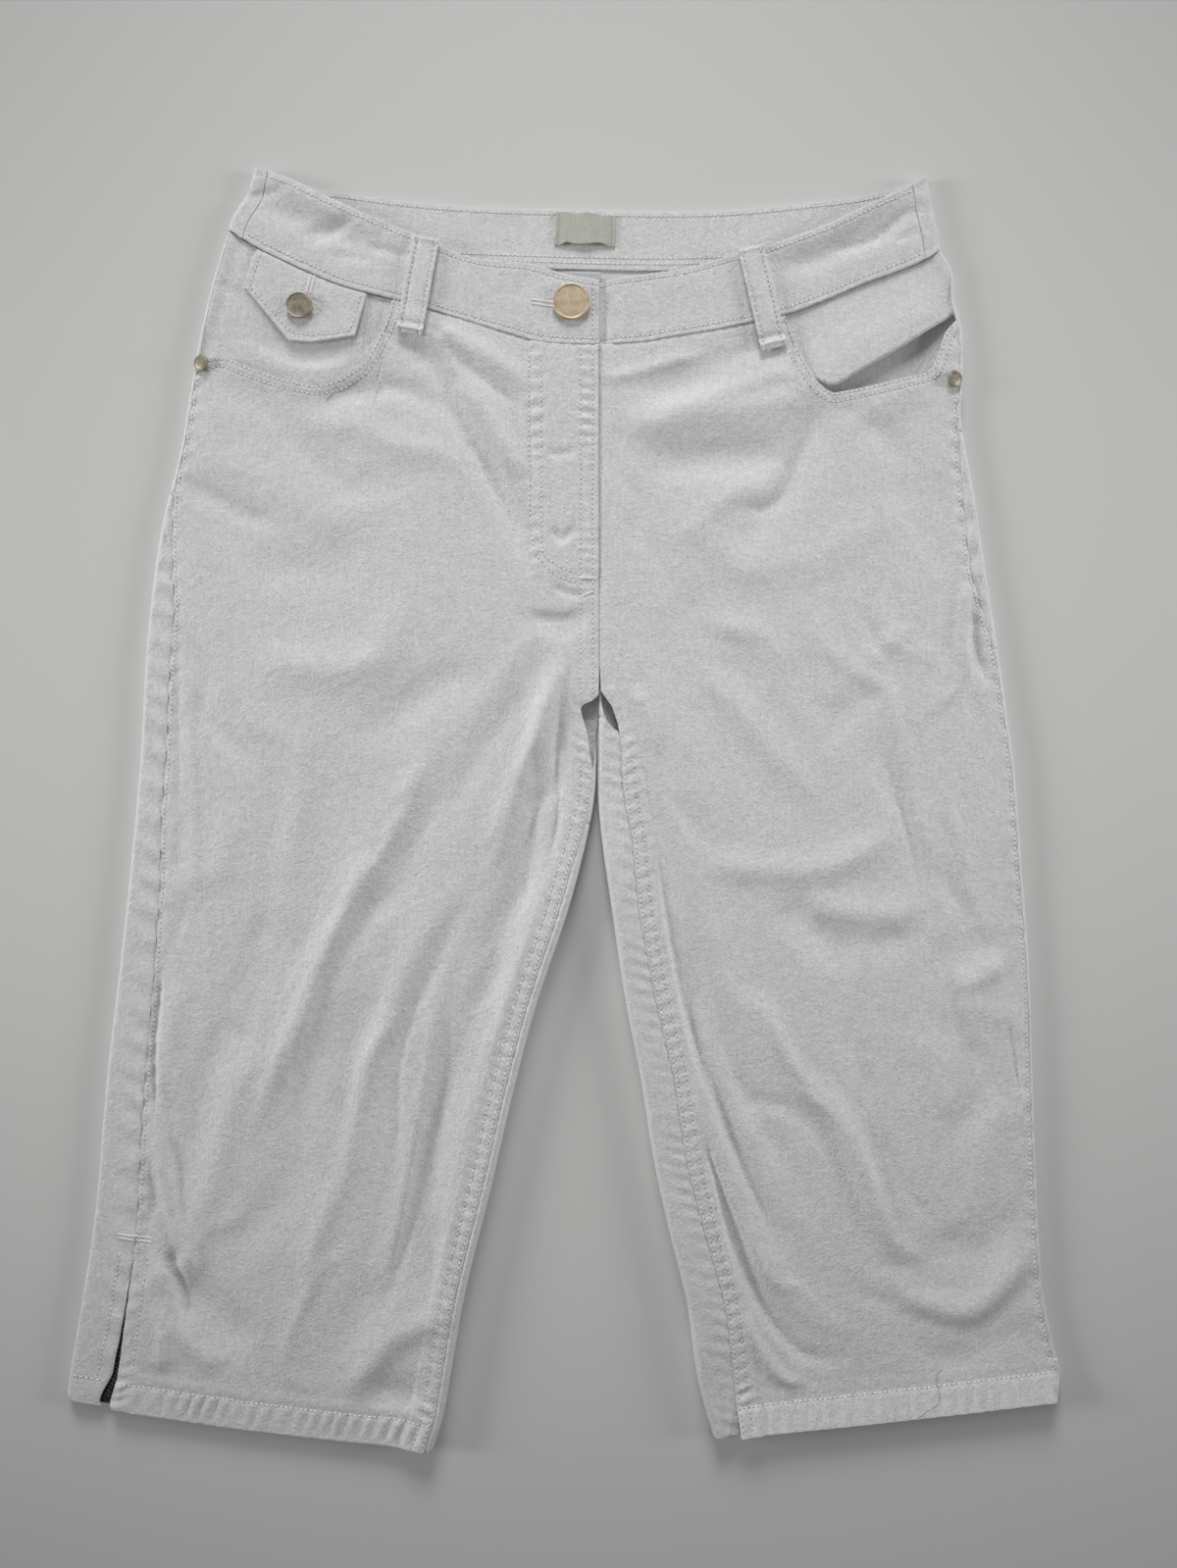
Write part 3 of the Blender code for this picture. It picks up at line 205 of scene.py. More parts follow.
class Line:
    """A smooth line through a few points, read by the distance along it."""

    def __init__(self, points, smooth=True, pieces=10):
        knots = np.array(points, dtype=float)
        if smooth:
            ends = np.vstack([2 * knots[0] - knots[1], knots, 2 * knots[-1] - knots[-2]])
            u = np.arange(pieces)[:, None] / pieces
            curves = [0.5 * (2 * b + (c - a) * u + (2 * a - 5 * b + 4 * c - d) * u ** 2
                             + (3 * b - a - 3 * c + d) * u ** 3)
                      for a, b, c, d in zip(ends[:-3], ends[1:-2], ends[2:-1], ends[3:])]
            knots = np.vstack(curves + [knots[-1:]])
        self.points = knots
        steps = np.linalg.norm(np.diff(knots, axis=0), axis=1)
        self.reach = np.concatenate([[0], np.cumsum(steps)])
        self.length = self.reach[-1]

    def at(self, distance):
        where = np.clip(distance, 0, self.length)
        return [np.interp(where, self.reach, self.points[:, k]) for k in (0, 1)]

    def y_at_x(self, x):
        order = np.argsort(self.points[:, 0])
        return np.interp(x, self.points[order, 0], self.points[order, 1])

    def share_at_y(self, y):
        return np.interp(y, self.points[::-1, 1], self.reach[::-1]) / self.length

    def near(self, x, y, reach):
        """Distance from the line, plus on its left, and distance along it."""
        away = np.full(x.shape, 1000.0)
        along = np.zeros(x.shape)
        low, high = self.points.min(0) - reach, self.points.max(0) + reach
        inside = (x > low[0]) & (x < high[0]) & (y > low[1]) & (y < high[1])
        if inside.any():
            place = np.stack([x[inside], y[inside]], -1)[:, None, :]
            starts, runs = self.points[:-1], np.diff(self.points, axis=0)
            share = ((place - starts) * runs).sum(-1) / (runs ** 2).sum(-1)
            share = np.clip(share, 0, 1)
            offset = place - (starts + runs * share[..., None])
            gap = np.linalg.norm(offset, axis=-1)
            best = gap.argmin(1)
            each = np.arange(len(best))
            run, off = runs[best], offset[each, best]
            turn = run[:, 0] * off[:, 1] - run[:, 1] * off[:, 0]
            away[inside] = gap[each, best] * np.where(turn > 0, 1, -1)
            along[inside] = (self.reach[best]
                             + share[each, best] * np.linalg.norm(run, axis=-1))
        return away, along


def through(xy):
    """A line straight from point to point, given all x and all y."""
    return Line(np.stack(xy, -1), smooth=False)


def drawn(creases):
    """Rows of height, left flank, right flank and line, from a table of named creases."""
    return [(*row[:3], Line(row[3], pieces=5)) for row in creases.values()]


print("waist seam, mm:", round(Line(WAIST_SEAM).length, 1))

# %% Hills, creases and gathers


def patchy(x, y, size, seed):
    """Soft random hills of about this size, from -1 to 1."""
    table = np.random.default_rng(seed).uniform(-1, 1, (64, 64))
    u, v = x / size + 31.7, y / size + 17.3
    i, j = np.floor(u).astype(int), np.floor(v).astype(int)
    a, b = u - i, v - j
    a, b = a * a * (3 - 2 * a), b * b * (3 - 2 * b)
    corner = [table[(i + right) % 64, (j + up) % 64]
              for right, up in ((0, 0), (1, 0), (0, 1), (1, 1))]
    lower = corner[0] * (1 - a) + corner[1] * a
    return lower * (1 - b) + (corner[2] * (1 - a) + corner[3] * a) * b


def gathers(along, spacing, seed, even=0.0):
    """Uneven ripples along a seam, from -1 to 1; even takes out up to all unevenness."""
    drift = patchy(along, along * 0, spacing * 3.1, seed) * (1 - even)
    swell = patchy(along, along * 0 + 7, spacing * 2.3, seed) * (1 - even)
    wave = np.sin(2 * math.pi * (along / spacing + 0.55 * drift))
    return wave * (0.6 + 0.3 * even + 0.4 * swell)


def bell(distance, width):
    return np.exp(-(distance / width) ** 2)


def crease(x, y, height, left_flank, right_flank, line, seed=0, crisp=0.0):
    """Height of one crease: a bell across its line, fading at both ends."""
    widest = max(left_flank, right_flank)
    away, along = line.near(x, y, widest * 2.6)
    away = away + 0.12 * widest * patchy(along, along * 0 + seed, 22.0, seed)
    flank = np.where(away > 0, left_flank, right_flank)
    soft = bell(away, flank)
    sharp = np.exp(-1.9 * (np.sqrt(away ** 2 + 0.35) - 0.59) / flank)
    share = along / line.length
    fade = smoothstep(-0.05, 0.25, share) * smoothstep(-0.05, 0.25, 1 - share)
    uneven = 1 + 0.18 * patchy(along, along * 0 + seed + 3, 30.0, seed)
    return height * (soft * (1 - crisp) + sharp * crisp) * fade * uneven


def rolled(height, distance, radius):
    """Height of the top where a side rolls over to the floor."""
    inward = np.clip(distance / radius, 0, 1)
    return radius + (height - radius) * np.sqrt(np.maximum(1 - (1 - inward) ** 2, 0))


print("a bell one width out:", round(float(bell(1.0, 1.0)), 2))

# %% [markdown]
# ## Creases
# Worn cotton twill keeps the folds of the body: long soft ridges run down each leg from
# the fork, and short ones fan out from the fly, the pockets and the knees. Each row is a
# height, below zero for a trough, the width of its flanks and the line that it follows.
# These rows weren't drawn by hand. A fitting program placed most of them, and some were
# then scaled, dropped or added, so the table is data more than design.

# %% Folds of the legs
FOLDS = {"right_waist": [
    (-3.7, 6.0, [(-97, 270), (-76, 254), (-33, 172), (-21, 139)]),
    (2.4, 6.0, [(-62, 242), (-49, 229), (-22, 186)]),
    (-2.0, 6.0, [(-142, 230), (-117, 238), (-96, 238), (-76, 231), (-61, 218)]),
    (1.6, 6.0, [(-103, 282), (-79, 271), (-61, 267), (-31, 248), (-18, 237)]),
    (1.5, 8.2, [(-157, 229), (-142, 220), (-118, 217), (-102, 209), (-67, 199), (-59, 185),
        (-54, 168)]),
    (-1.4, 2.9, [(-93.5, 272), (-72, 271), (-57, 252), (-32.5, 233.5), (-28.5, 225),
        (-28.5, 205)]),
    (1.2, 11.2, [(-191, 239), (-201, 211), (-198, 197), (-166, 185), (-134, 164),
        (-102, 170)]),
    (-1.0, 8.2, [(-197, 241), (-170, 228), (-153, 207), (-130, 188), (-116, 182), (-75, 191)]),
    (1.0, 6.0, [(-85, 261), (-67, 265), (-60, 260), (-48, 245), (-24, 177), (-22, 166)]),
    (0.9, 5.1, [(-82, 269), (-69, 272), (-29, 245), (-19, 233)]),
], "right_fly": [
    (-1.5, 3.2, [(-20, 111), (-6, 107.5), (8, 108.5)]),
    (-1.5, 2.7, [(7, 160), (-1, 153), (-8, 159)]),
    (-1.4, 2.2, [(-6, 126), (2, 122), (12, 120.5)]),
    (-1.2, 2.5, [(7, 204), (-2, 201), (-11, 203)]),
], "right_hip": [
    (-1.8, 6.0, [(-219, 186), (-192, 172), (-164, 158)]),
    (-1.3, 11.2, [(-212, 176), (-196, 165), (-172, 142), (-161, 136), (-137, 134), (-131, 136),
        (-109, 165)]),
], "right_seat": [
    (2.4, 11.2, [(-80, 114), (-94, 108), (-102, 87), (-116, 81), (-126, 79), (-175, 82)]),
    (-2.1, 11.2, [(-45, 84), (-93, 57), (-118, 33)]),
    (-1.8, 5.1, [(12, 119), (9, 108), (7, 106), (1, 102), (-11, 104), (-23, 108)]),
    (-1.5, 5.1, [(-222, 106), (-206, 79), (-204, 70), (-204, 52), (-182, 29), (-178, 18)]),
    (0.8, 6.0, [(-211, 167), (-212, 126), (-190, 66), (-178, 49), (-159, 42), (-149, 23),
        (-159, -71)]),
    (0.7, 6.0, [(-14, 105), (-54, 51), (-67, 37)]),
    (0.6, 6.0, [(-8, 123), (-18, 95), (-15, 77), (-18, 53), (-3, 17)]),
    (0.4, 6.0, [(-217, 170), (-210, 151), (-204, 106), (-196, 80), (-178, 59), (-176, 46),
        (-158, 33), (-151, 23), (-150, -4), (-158, -24), (-169, -34)]),
], "right_thigh": [
    (4.7, 6.0, [(-2, 86), (-14, 46), (-32, 2), (-43, -37)]),
    (-2.3, 8.2, [(-6, 92), (-79, -16), (-94, -46), (-111, -63), (-119, -97)]),
    (-2.1, 3.7, [(-86, 11), (-99, -7), (-113, -35)]),
    (-2.0, 5.1, [(9, 57), (-1, 43), (-6, 13), (-15, 4), (-18, -5), (-19, -38), (-30, -65)]),
    (-1.4, 15.0, [(-120, 34), (-132, 19), (-131, 1), (-146, -66), (-152, -77), (-172, -102)]),
    (-1.4, 3.7, [(-26, 24), (-40, -21), (-50, -32)]),
    (-1.3, 2.1, [(7, 82.5), (0, 70), (-2.5, 58.5), (-4.5, 28.5), (-3, 4.5), (-8, -39.5)]),
    (1.2, 8.2, [(-187, 6), (-194, -30), (-201, -37), (-208, -38), (-218, -45), (-231, -60)]),
    (0.9, 5.1, [(-78, 57), (-64, 35), (-63, 10), (-108, -71), (-120, -88), (-126, -109),
        (-126, -120)]),
    (-0.9, 3.7, [(-18, 52), (-20, 32), (-15, 8), (-21, -19), (-56, -104)]),
    (-0.9, 2.1, [(-219, 125.5), (-219.5, 12.5), (-217, -8.5), (-220, -32.5), (-214.5, -59),
        (-231, -94.5)]),
    (0.9, 2.1, [(-216, 94.5), (-210, 14.5), (-209.5, -42.5), (-203, -63), (-196.5, -103.5)]),
    (-0.7, 8.2, [(-82, 74), (-88, 53), (-103, 27), (-110, 4)]),
], "right_knee": [
    (3.8, 6.0, [(-70, 42), (-133, -73), (-177, -187)]),
    (-2.6, 6.0, [(-13, -2), (-40, -87), (-55, -120), (-63, -146), (-86, -263)]),
    (-2.3, 2.1, [(-228.5, -90), (-232.5, -133.5), (-232, -177)]),
    (1.6, 6.9, [(-216, -91), (-224, -130), (-225, -157), (-222, -173)]),
    (-1.6, 8.2, [(-100, -93), (-117, -126), (-124, -146), (-128, -182), (-126, -196)]),
    (1.1, 3.7, [(-137, -95), (-150, -130), (-154, -147), (-153, -162), (-157, -172)]),
    (1.0, 3.7, [(-54, -42), (-79, -75), (-96, -120), (-113, -144), (-120, -188)]),
    (0.9, 3.7, [(-85, 2), (-114, -46), (-134, -86), (-148, -126), (-155, -169)]),
    (0.9, 3.7, [(-31, -64), (-39, -88), (-58, -126), (-64, -157)]),
    (-0.8, 5.1, [(-166, 36), (-166, -17), (-171, -68), (-179, -81), (-186, -104),
        (-201, -126)]),
    (0.7, 2.9, [(-108.5, -6), (-119.5, -23), (-122, -31.5), (-136.5, -58), (-140.5, -72.5),
        (-157, -105), (-165.5, -133)]),
    (-0.6, 6.0, [(-24, -29), (-34, -53), (-51, -78), (-66, -117), (-86, -236), (-98, -259)]),
], "right_shin": [
    (1.2, 3.7, [(-233, -180), (-222, -235), (-213, -257), (-209, -280)]),
    (2.3, 5.1, [(-8, -29), (-53, -174), (-70, -271), (-76, -284)]),
    (-1.1, 3.7, [(-237, -197), (-233, -222), (-237, -237), (-240, -286)]),
    (1.1, 3.7, [(-235, -165), (-228, -203), (-204, -282)]),
    (2.0, 6.0, [(-51, -30), (-85, -75), (-115, -163), (-123, -204), (-143, -251), (-145, -275),
        (-159, -314)]),
    (2.0, 3.7, [(-66, -96), (-75, -127), (-92, -227), (-104, -273)]),
    (2.0, 8.2, [(-166, -134), (-185, -160), (-206, -232), (-222, -242)]),
    (-1.9, 3.7, [(-53, -48), (-90, -129), (-96, -195), (-113, -267)]),
    (-1.8, 3.7, [(-67, -150), (-74, -182), (-80, -196), (-95, -266), (-104, -284)]),
    (-1.7, 11.2, [(-122, -105), (-147, -162), (-156, -215), (-191, -256)]),
    (-0.9, 3.7, [(-237, -194), (-235, -211), (-218, -266), (-214, -292)]),
    (-1.6, 8.2, [(-166, -54), (-181, -122), (-192, -129), (-204, -160), (-216, -212),
        (-216, -226)]),
    (-0.7, 2.1, [(-223, -184), (-219.5, -213), (-213.5, -241)]),
    (-1.3, 2.9, [(-227, -141.5), (-222, -181), (-217, -220.5)]),
    (0.6, 5.2, [(-232, -184), (-219, -244), (-215, -252), (-210, -284)]),
    (1.0, 3.7, [(-78, -105), (-90, -142), (-91, -181), (-103, -233), (-104, -250)]),
    (-0.9, 3.7, [(-56, -100), (-64, -121), (-70, -157), (-92, -258)]),
    (-0.6, 3.7, [(-92, -150), (-98, -160), (-114, -251)]),
], "right_hem": [
    (3.4, 8.2, [(-69, -275), (-76, -290), (-100, -304), (-124, -336)]),
    (-2.6, 11.2, [(-224, -270), (-211, -277), (-208, -277), (-186, -298), (-173, -304)]),
    (-2.5, 3.7, [(-218, -248), (-222, -258), (-222, -261), (-217, -281), (-215, -298)]),
    (-2.5, 9.2, [(-112, -332), (-89, -333), (-81, -338)]),
    (1.8, 2.1, [(-230.5, -295), (-228.5, -303.5), (-228.5, -320.5)]),
    (1.8, 6.0, [(-223, -284), (-213, -304), (-193, -319)]),
    (1.7, 3.7, [(-230, -256), (-225, -276), (-218, -290)]),
    (1.5, 9.2, [(-233, -280), (-229, -304), (-229, -313), (-230, -323)]),
    (-1.3, 11.2, [(-105, -262), (-125, -305), (-124, -312), (-117, -323)]),
    (-1.1, 9.2, [(-73, -230), (-76, -256), (-79, -280)]),
    (1.0, 8.2, [(-66, -266), (-90, -281), (-117, -309), (-138, -319)]),
    (1.0, 6.0, [(-178, -214), (-186, -233), (-202, -240), (-216, -258), (-234, -269),
        (-245, -284), (-253, -315)]),
    (0.8, 3.7, [(-114, -242), (-126, -255), (-135, -259), (-142, -269), (-156, -299),
        (-160, -317), (-150, -327), (-129, -327)]),
], "left_waist": [
    (-2.9, 11.2, [(129, 202), (74, 197), (43, 197)]),
    (2.7, 8.2, [(148, 239), (135, 234), (58, 220), (29, 218)]),
    (1.8, 6.0, [(145, 239), (128, 245), (119, 245), (68, 229), (45, 225)]),
    (-1.6, 8.2, [(132, 268), (101, 260), (72, 244), (32, 235)]),
    (1.6, 3.7, [(80, 256), (71, 256), (30, 245), (19, 248)]),
    (1.4, 9.2, [(213, 238), (195, 235), (173, 224), (155, 224), (140, 230)]),
    (-1.3, 3.7, [(141, 241), (139, 215), (132, 195), (124, 179), (118, 172), (112, 170),
        (92, 171)]),
    (0.9, 8.2, [(92, 263), (125, 248), (131, 239), (131, 228), (124, 221), (64, 210),
        (50, 215), (38, 238), (19, 252)]),
], "left_hip": [
    (-1.9, 8.2, [(96, 147), (128, 178), (146, 219), (162, 224), (171, 221), (188, 203),
        (205, 154), (221, 133)]),
    (1.3, 8.2, [(122, 198), (115, 186), (96, 178), (60, 149)]),
    (1.1, 11.2, [(199, 167), (176, 161), (153, 146), (118, 136), (105, 136), (90, 144)]),
    (1.1, 9.2, [(66, 163), (100, 139), (115, 121)]),
    (-0.8, 3.7, [(215, 193), (214, 180), (216, 132), (214, 110)]),
    (-0.8, 5.1, [(26, 232), (31, 209), (29, 193), (42, 175), (42, 156), (49, 149), (60, 125),
        (75, 115)]),
    (0.7, 5.1, [(186, 202), (196, 185), (200, 157)]),
], "left_seat": [
    (-2.5, 3.7, [(233, 115), (234, 90), (242, 69)]),
    (1.8, 5.1, [(40, 71), (51, 39), (50, 29)]),
    (1.7, 2.9, [(231, 130.5), (227, 114.5), (224, 77)]),
    (1.3, 3.7, [(225, 163), (227, 134), (226, 77), (204, 48)]),
    (1.2, 6.0, [(79, 105), (111, 98), (118, 91), (125, 72)]),
    (1.2, 6.0, [(133, 121), (148, 91), (184, 64), (192, 31), (184, 17)]),
    (1.1, 6.0, [(75, 89), (84, 72), (143, 4)]),
    (-1.1, 9.2, [(74, 107), (95, 87), (116, 67)]),
    (-1.1, 2.9, [(169, 116), (172, 104), (183, 82.5)]),
    (1.1, 6.0, [(198, 105), (184, 93), (171, 81)]),
    (-1.1, 6.9, [(185, 68), (178, 66), (165, 58), (152, 41), (149, 34)]),
    (-0.8, 11.2, [(137, 129), (81, 118), (64, 103), (62, 84), (82, 47), (130, -2), (169, -8)]),
    (0.8, 5.1, [(178, 121), (183, 101), (186, 95), (196, 88), (206, 87), (215, 74)]),
    (-0.8, 6.0, [(79, 82), (96, 77), (118, 57), (132, 41), (137, 22)]),
    (0.7, 3.7, [(221, 84), (215, 75), (211, 63), (205, 56)]),
    (-0.7, 8.2, [(125, 86), (134, 78), (138, 63), (143, 57), (155, 55), (166, 56)]),
    (0.5, 2.1, [(233.5, 88), (236.5, 77), (234.5, 67.5), (236.5, 59)]),
    (0.5, 2.1, [(26, 69.5), (28, 62.5), (30.5, 56)]),
], "left_thigh": [
    (1.5, 6.0, [(39, 79), (56, 42), (59, 12), (71, -22), (89, -89), (121, -162)]),
    (2.3, 8.2, [(134, -58), (143, -56), (152, -59), (164, -60), (203, -60)]),
    (2.2, 8.2, [(191, -8), (176, -22), (142, -35), (94, -34), (75, -28)]),
    (1.2, 3.7, [(211, 28), (216, 0), (224, -17), (231, -49), (240, -71), (244, -92),
        (243, -106)]),
    (-0.9, 2.1, [(28, 75), (39.5, 45), (45.5, 18.5), (64, -94), (75.5, -137.5),
        (81.5, -184.5)]),
    (-0.8, 2.1, [(53.5, 4.5), (59, -27.5), (60, -60)]),
    (-1.4, 3.7, [(56, 55), (59, 12), (62, 3), (83, -24)]),
    (-1.4, 6.0, [(207, -32), (229, -58), (230, -65), (233, -74)]),
    (-1.3, 2.9, [(180, 40.5), (194.5, -7.5), (205, -56.5)]),
    (-1.1, 6.0, [(169, 56), (183, 15), (197, -15), (206, -56), (204, -72), (214, -109)]),
    (-0.6, 3.7, [(225, 74), (232, 58), (238, 38), (237, 5), (232, -9), (240, -47)]),
    (1.0, 6.0, [(37, 106), (49, 74), (69, 33), (76, 7), (90, -12)]),
    (0.9, 3.7, [(181, 82), (202, -10), (212, -23), (217, -36)]),
    (-0.7, 3.7, [(190, 52), (197, 46), (205, 20), (206, 11), (206, -9)]),
    (0.5, 3.7, [(227, 58), (228, 37), (228, 12)]),
    (-0.4, 2.1, [(240, 1), (236.5, -6), (235.5, -15.5), (238.5, -42), (242.5, -55.5)]),
], "left_knee": [
    (-2.0, 6.0, [(71, -63), (78, -104), (92, -140), (120, -193), (140, -226)]),
    (-1.5, 3.7, [(56, -18), (65, -52), (70, -106), (79, -150), (120, -250), (130, -264)]),
    (-2.3, 11.2, [(122, -52), (156, -79), (168, -86)]),
    (1.3, 3.7, [(209, -30), (221, -89), (227, -104)]),
    (1.8, 6.0, [(249, -85), (238, -95), (219, -104)]),
    (0.9, 2.1, [(53.5, -39.5), (54.5, -62.5), (71.5, -150)]),
    (-1.5, 8.2, [(253, -78), (233, -78), (212, -90)]),
    (-1.4, 8.2, [(212, -111), (228, -132), (235, -142), (236, -152), (237, -161),
        (220, -196)]),
    (0.8, 2.1, [(63, -52.5), (66, -65.5), (68.5, -92.5), (67.5, -102.5)]),
    (1.4, 8.2, [(194, -126), (205, -139), (210, -144), (214, -161), (224, -179)]),
    (-1.4, 8.2, [(198, -79), (184, -77), (173, -84)]),
    (-1.3, 5.1, [(141, -43), (148, -58), (149, -77), (156, -96), (157, -121), (172, -157),
        (173, -175), (188, -223)]),
    (0.6, 2.1, [(253, -0.5), (255.5, -68.5), (260, -110), (261.5, -178.5)]),
    (-0.6, 3.7, [(246, 4), (249, -18), (250, -79), (253, -106), (258, -122)]),
    (-1.2, 2.1, [(251.5, -115), (258, -152), (259, -172)]),
    (1.1, 3.7, [(227, -105), (231, -126), (232, -138)]),
    (0.9, 2.1, [(216.5, -114.5), (222, -139), (223.5, -164.5)]),
    (0.7, 2.9, [(130.5, -69.5), (133.5, -86.5), (139.5, -94), (145.5, -120.5), (160.5, -156.5),
        (167.5, -184.5)]),
    (0.7, 6.0, [(225, -107), (231, -112), (245, -116), (258, -124), (262, -130)]),
    (-0.3, 2.1, [(213.5, -89), (228.5, -138.5), (230.5, -170)]),
], "left_shin": [
    (4.7, 6.0, [(98, -104), (114, -117), (131, -152), (159, -180), (182, -238), (194, -252),
        (204, -258)]),
    (1.9, 6.0, [(61, -107), (73, -140), (90, -216), (110, -253), (138, -288), (157, -297),
        (171, -298)]),
    (-2.0, 3.7, [(117, -124), (128, -150), (149, -166), (164, -186)]),
    (2.0, 2.1, [(79.5, -197), (90.5, -242.5), (101.5, -288.5)]),
    (-1.7, 11.2, [(265, -228), (244, -246), (235, -250), (218, -247), (213, -237)]),
    (-1.6, 3.9, [(80, -135), (88, -163), (105, -208), (129, -258)]),
    (-1.5, 2.1, [(80.5, -182.5), (82.5, -198), (91, -223.5), (106.5, -257)]),
    (-1.1, 5.1, [(72, -52), (76, -84), (84, -100), (103, -161), (107, -166), (128, -171),
        (152, -195), (173, -254), (178, -259), (191, -261), (209, -258), (228, -250)]),
    (1.0, 8.2, [(262, -143), (258, -170), (243, -182), (228, -227), (211, -236)]),
    (1.0, 3.7, [(72, -130), (92, -201), (116, -263), (133, -272), (152, -291), (171, -299)]),
    (1.0, 3.7, [(94, -194), (117, -250), (133, -270)]),
    (-1.0, 5.2, [(253, -197), (261, -216), (261, -231), (268, -289)]),
    (-0.9, 3.7, [(163, -94), (167, -132), (180, -182), (196, -220), (207, -232), (216, -256)]),
    (0.7, 6.0, [(84, -135), (97, -174), (111, -194), (126, -227), (148, -250)]),
], "left_hem": [
    (-2.4, 3.7, [(77, -197), (109, -276), (122, -297), (132, -308), (140, -312), (161, -313)]),
    (3.2, 8.2, [(269, -248), (244, -277), (228, -286), (210, -284), (188, -275)]),
    (3.2, 3.7, [(99, -280), (107, -299), (118, -317), (127, -325), (138, -328)]),
    (-1.2, 3.7, [(75, -176), (107, -269), (118, -287), (132, -302), (141, -309)]),
    (-1.3, 8.2, [(185, -278), (196, -298), (212, -312), (228, -311), (257, -299),
        (276, -308)]),
    (-1.2, 6.0, [(271, -254), (244, -289), (230, -296), (221, -295), (200, -289),
        (154, -269)]),
    (0.7, 8.2, [(261, -228), (252, -253), (225, -289)]),
]}
folds = [(height, width, Line(points, pieces=5))
         for rows in FOLDS.values() for height, width, points in rows]
BROAD = 4.0                         # width from which a fold counts as broad
print("folds:", len(folds), "broad:", sum(width > BROAD for _, width, _ in folds))

# %% [markdown]
# ## The form of a leg
# Each leg with its half of the seat is mapped by two numbers: how far down its side a row
# starts, and how far in from the outer edge a point of that row lies. Rows bend on to the
# curved waist seam at the top and on to the sagging hem at the bottom.

# %% Height of the upper layer
# rise, stretch down the leg, size and seed of the unevenness between the folds
CLOTH_PATCHES = [(0.24, 0.45, 21.0, 5), (0.15, 0.6, 10.0, 6), (0.09, 0.7, 4.5, 7)]


def body_height(x, y, fine=True):
    height = LEG_HEIGHT + (HIP_HEIGHT - LEG_HEIGHT) * smoothstep(40, 140, y)
    for seed, (rise, width, line) in enumerate(folds):
        if fine or width > BROAD:
            height = height + crease(x, y, rise, width, width, line, seed)
    for rise, stretch, size, seed in CLOTH_PATCHES if fine else ():
        height = height + rise * patchy(x, y * stretch, size, seed)
    room = (height - LOWEST_TOP) / LOWEST_SOFT
    return LOWEST_TOP + LOWEST_SOFT * np.logaddexp(0, room)


def fork_share(side, y):
    """0 where the inner leg edge lies flat at the fork, 1 where it's folded over."""
    return 1 - smoothstep(FORK_END_Y[side], FORK_START_Y[side], y)


# shares of a row line down to which rows bend to the waist seam, and where the sag starts
FRONT_BEND, BACK_BEND, SAG_START = 0.35, 0.5, 0.85


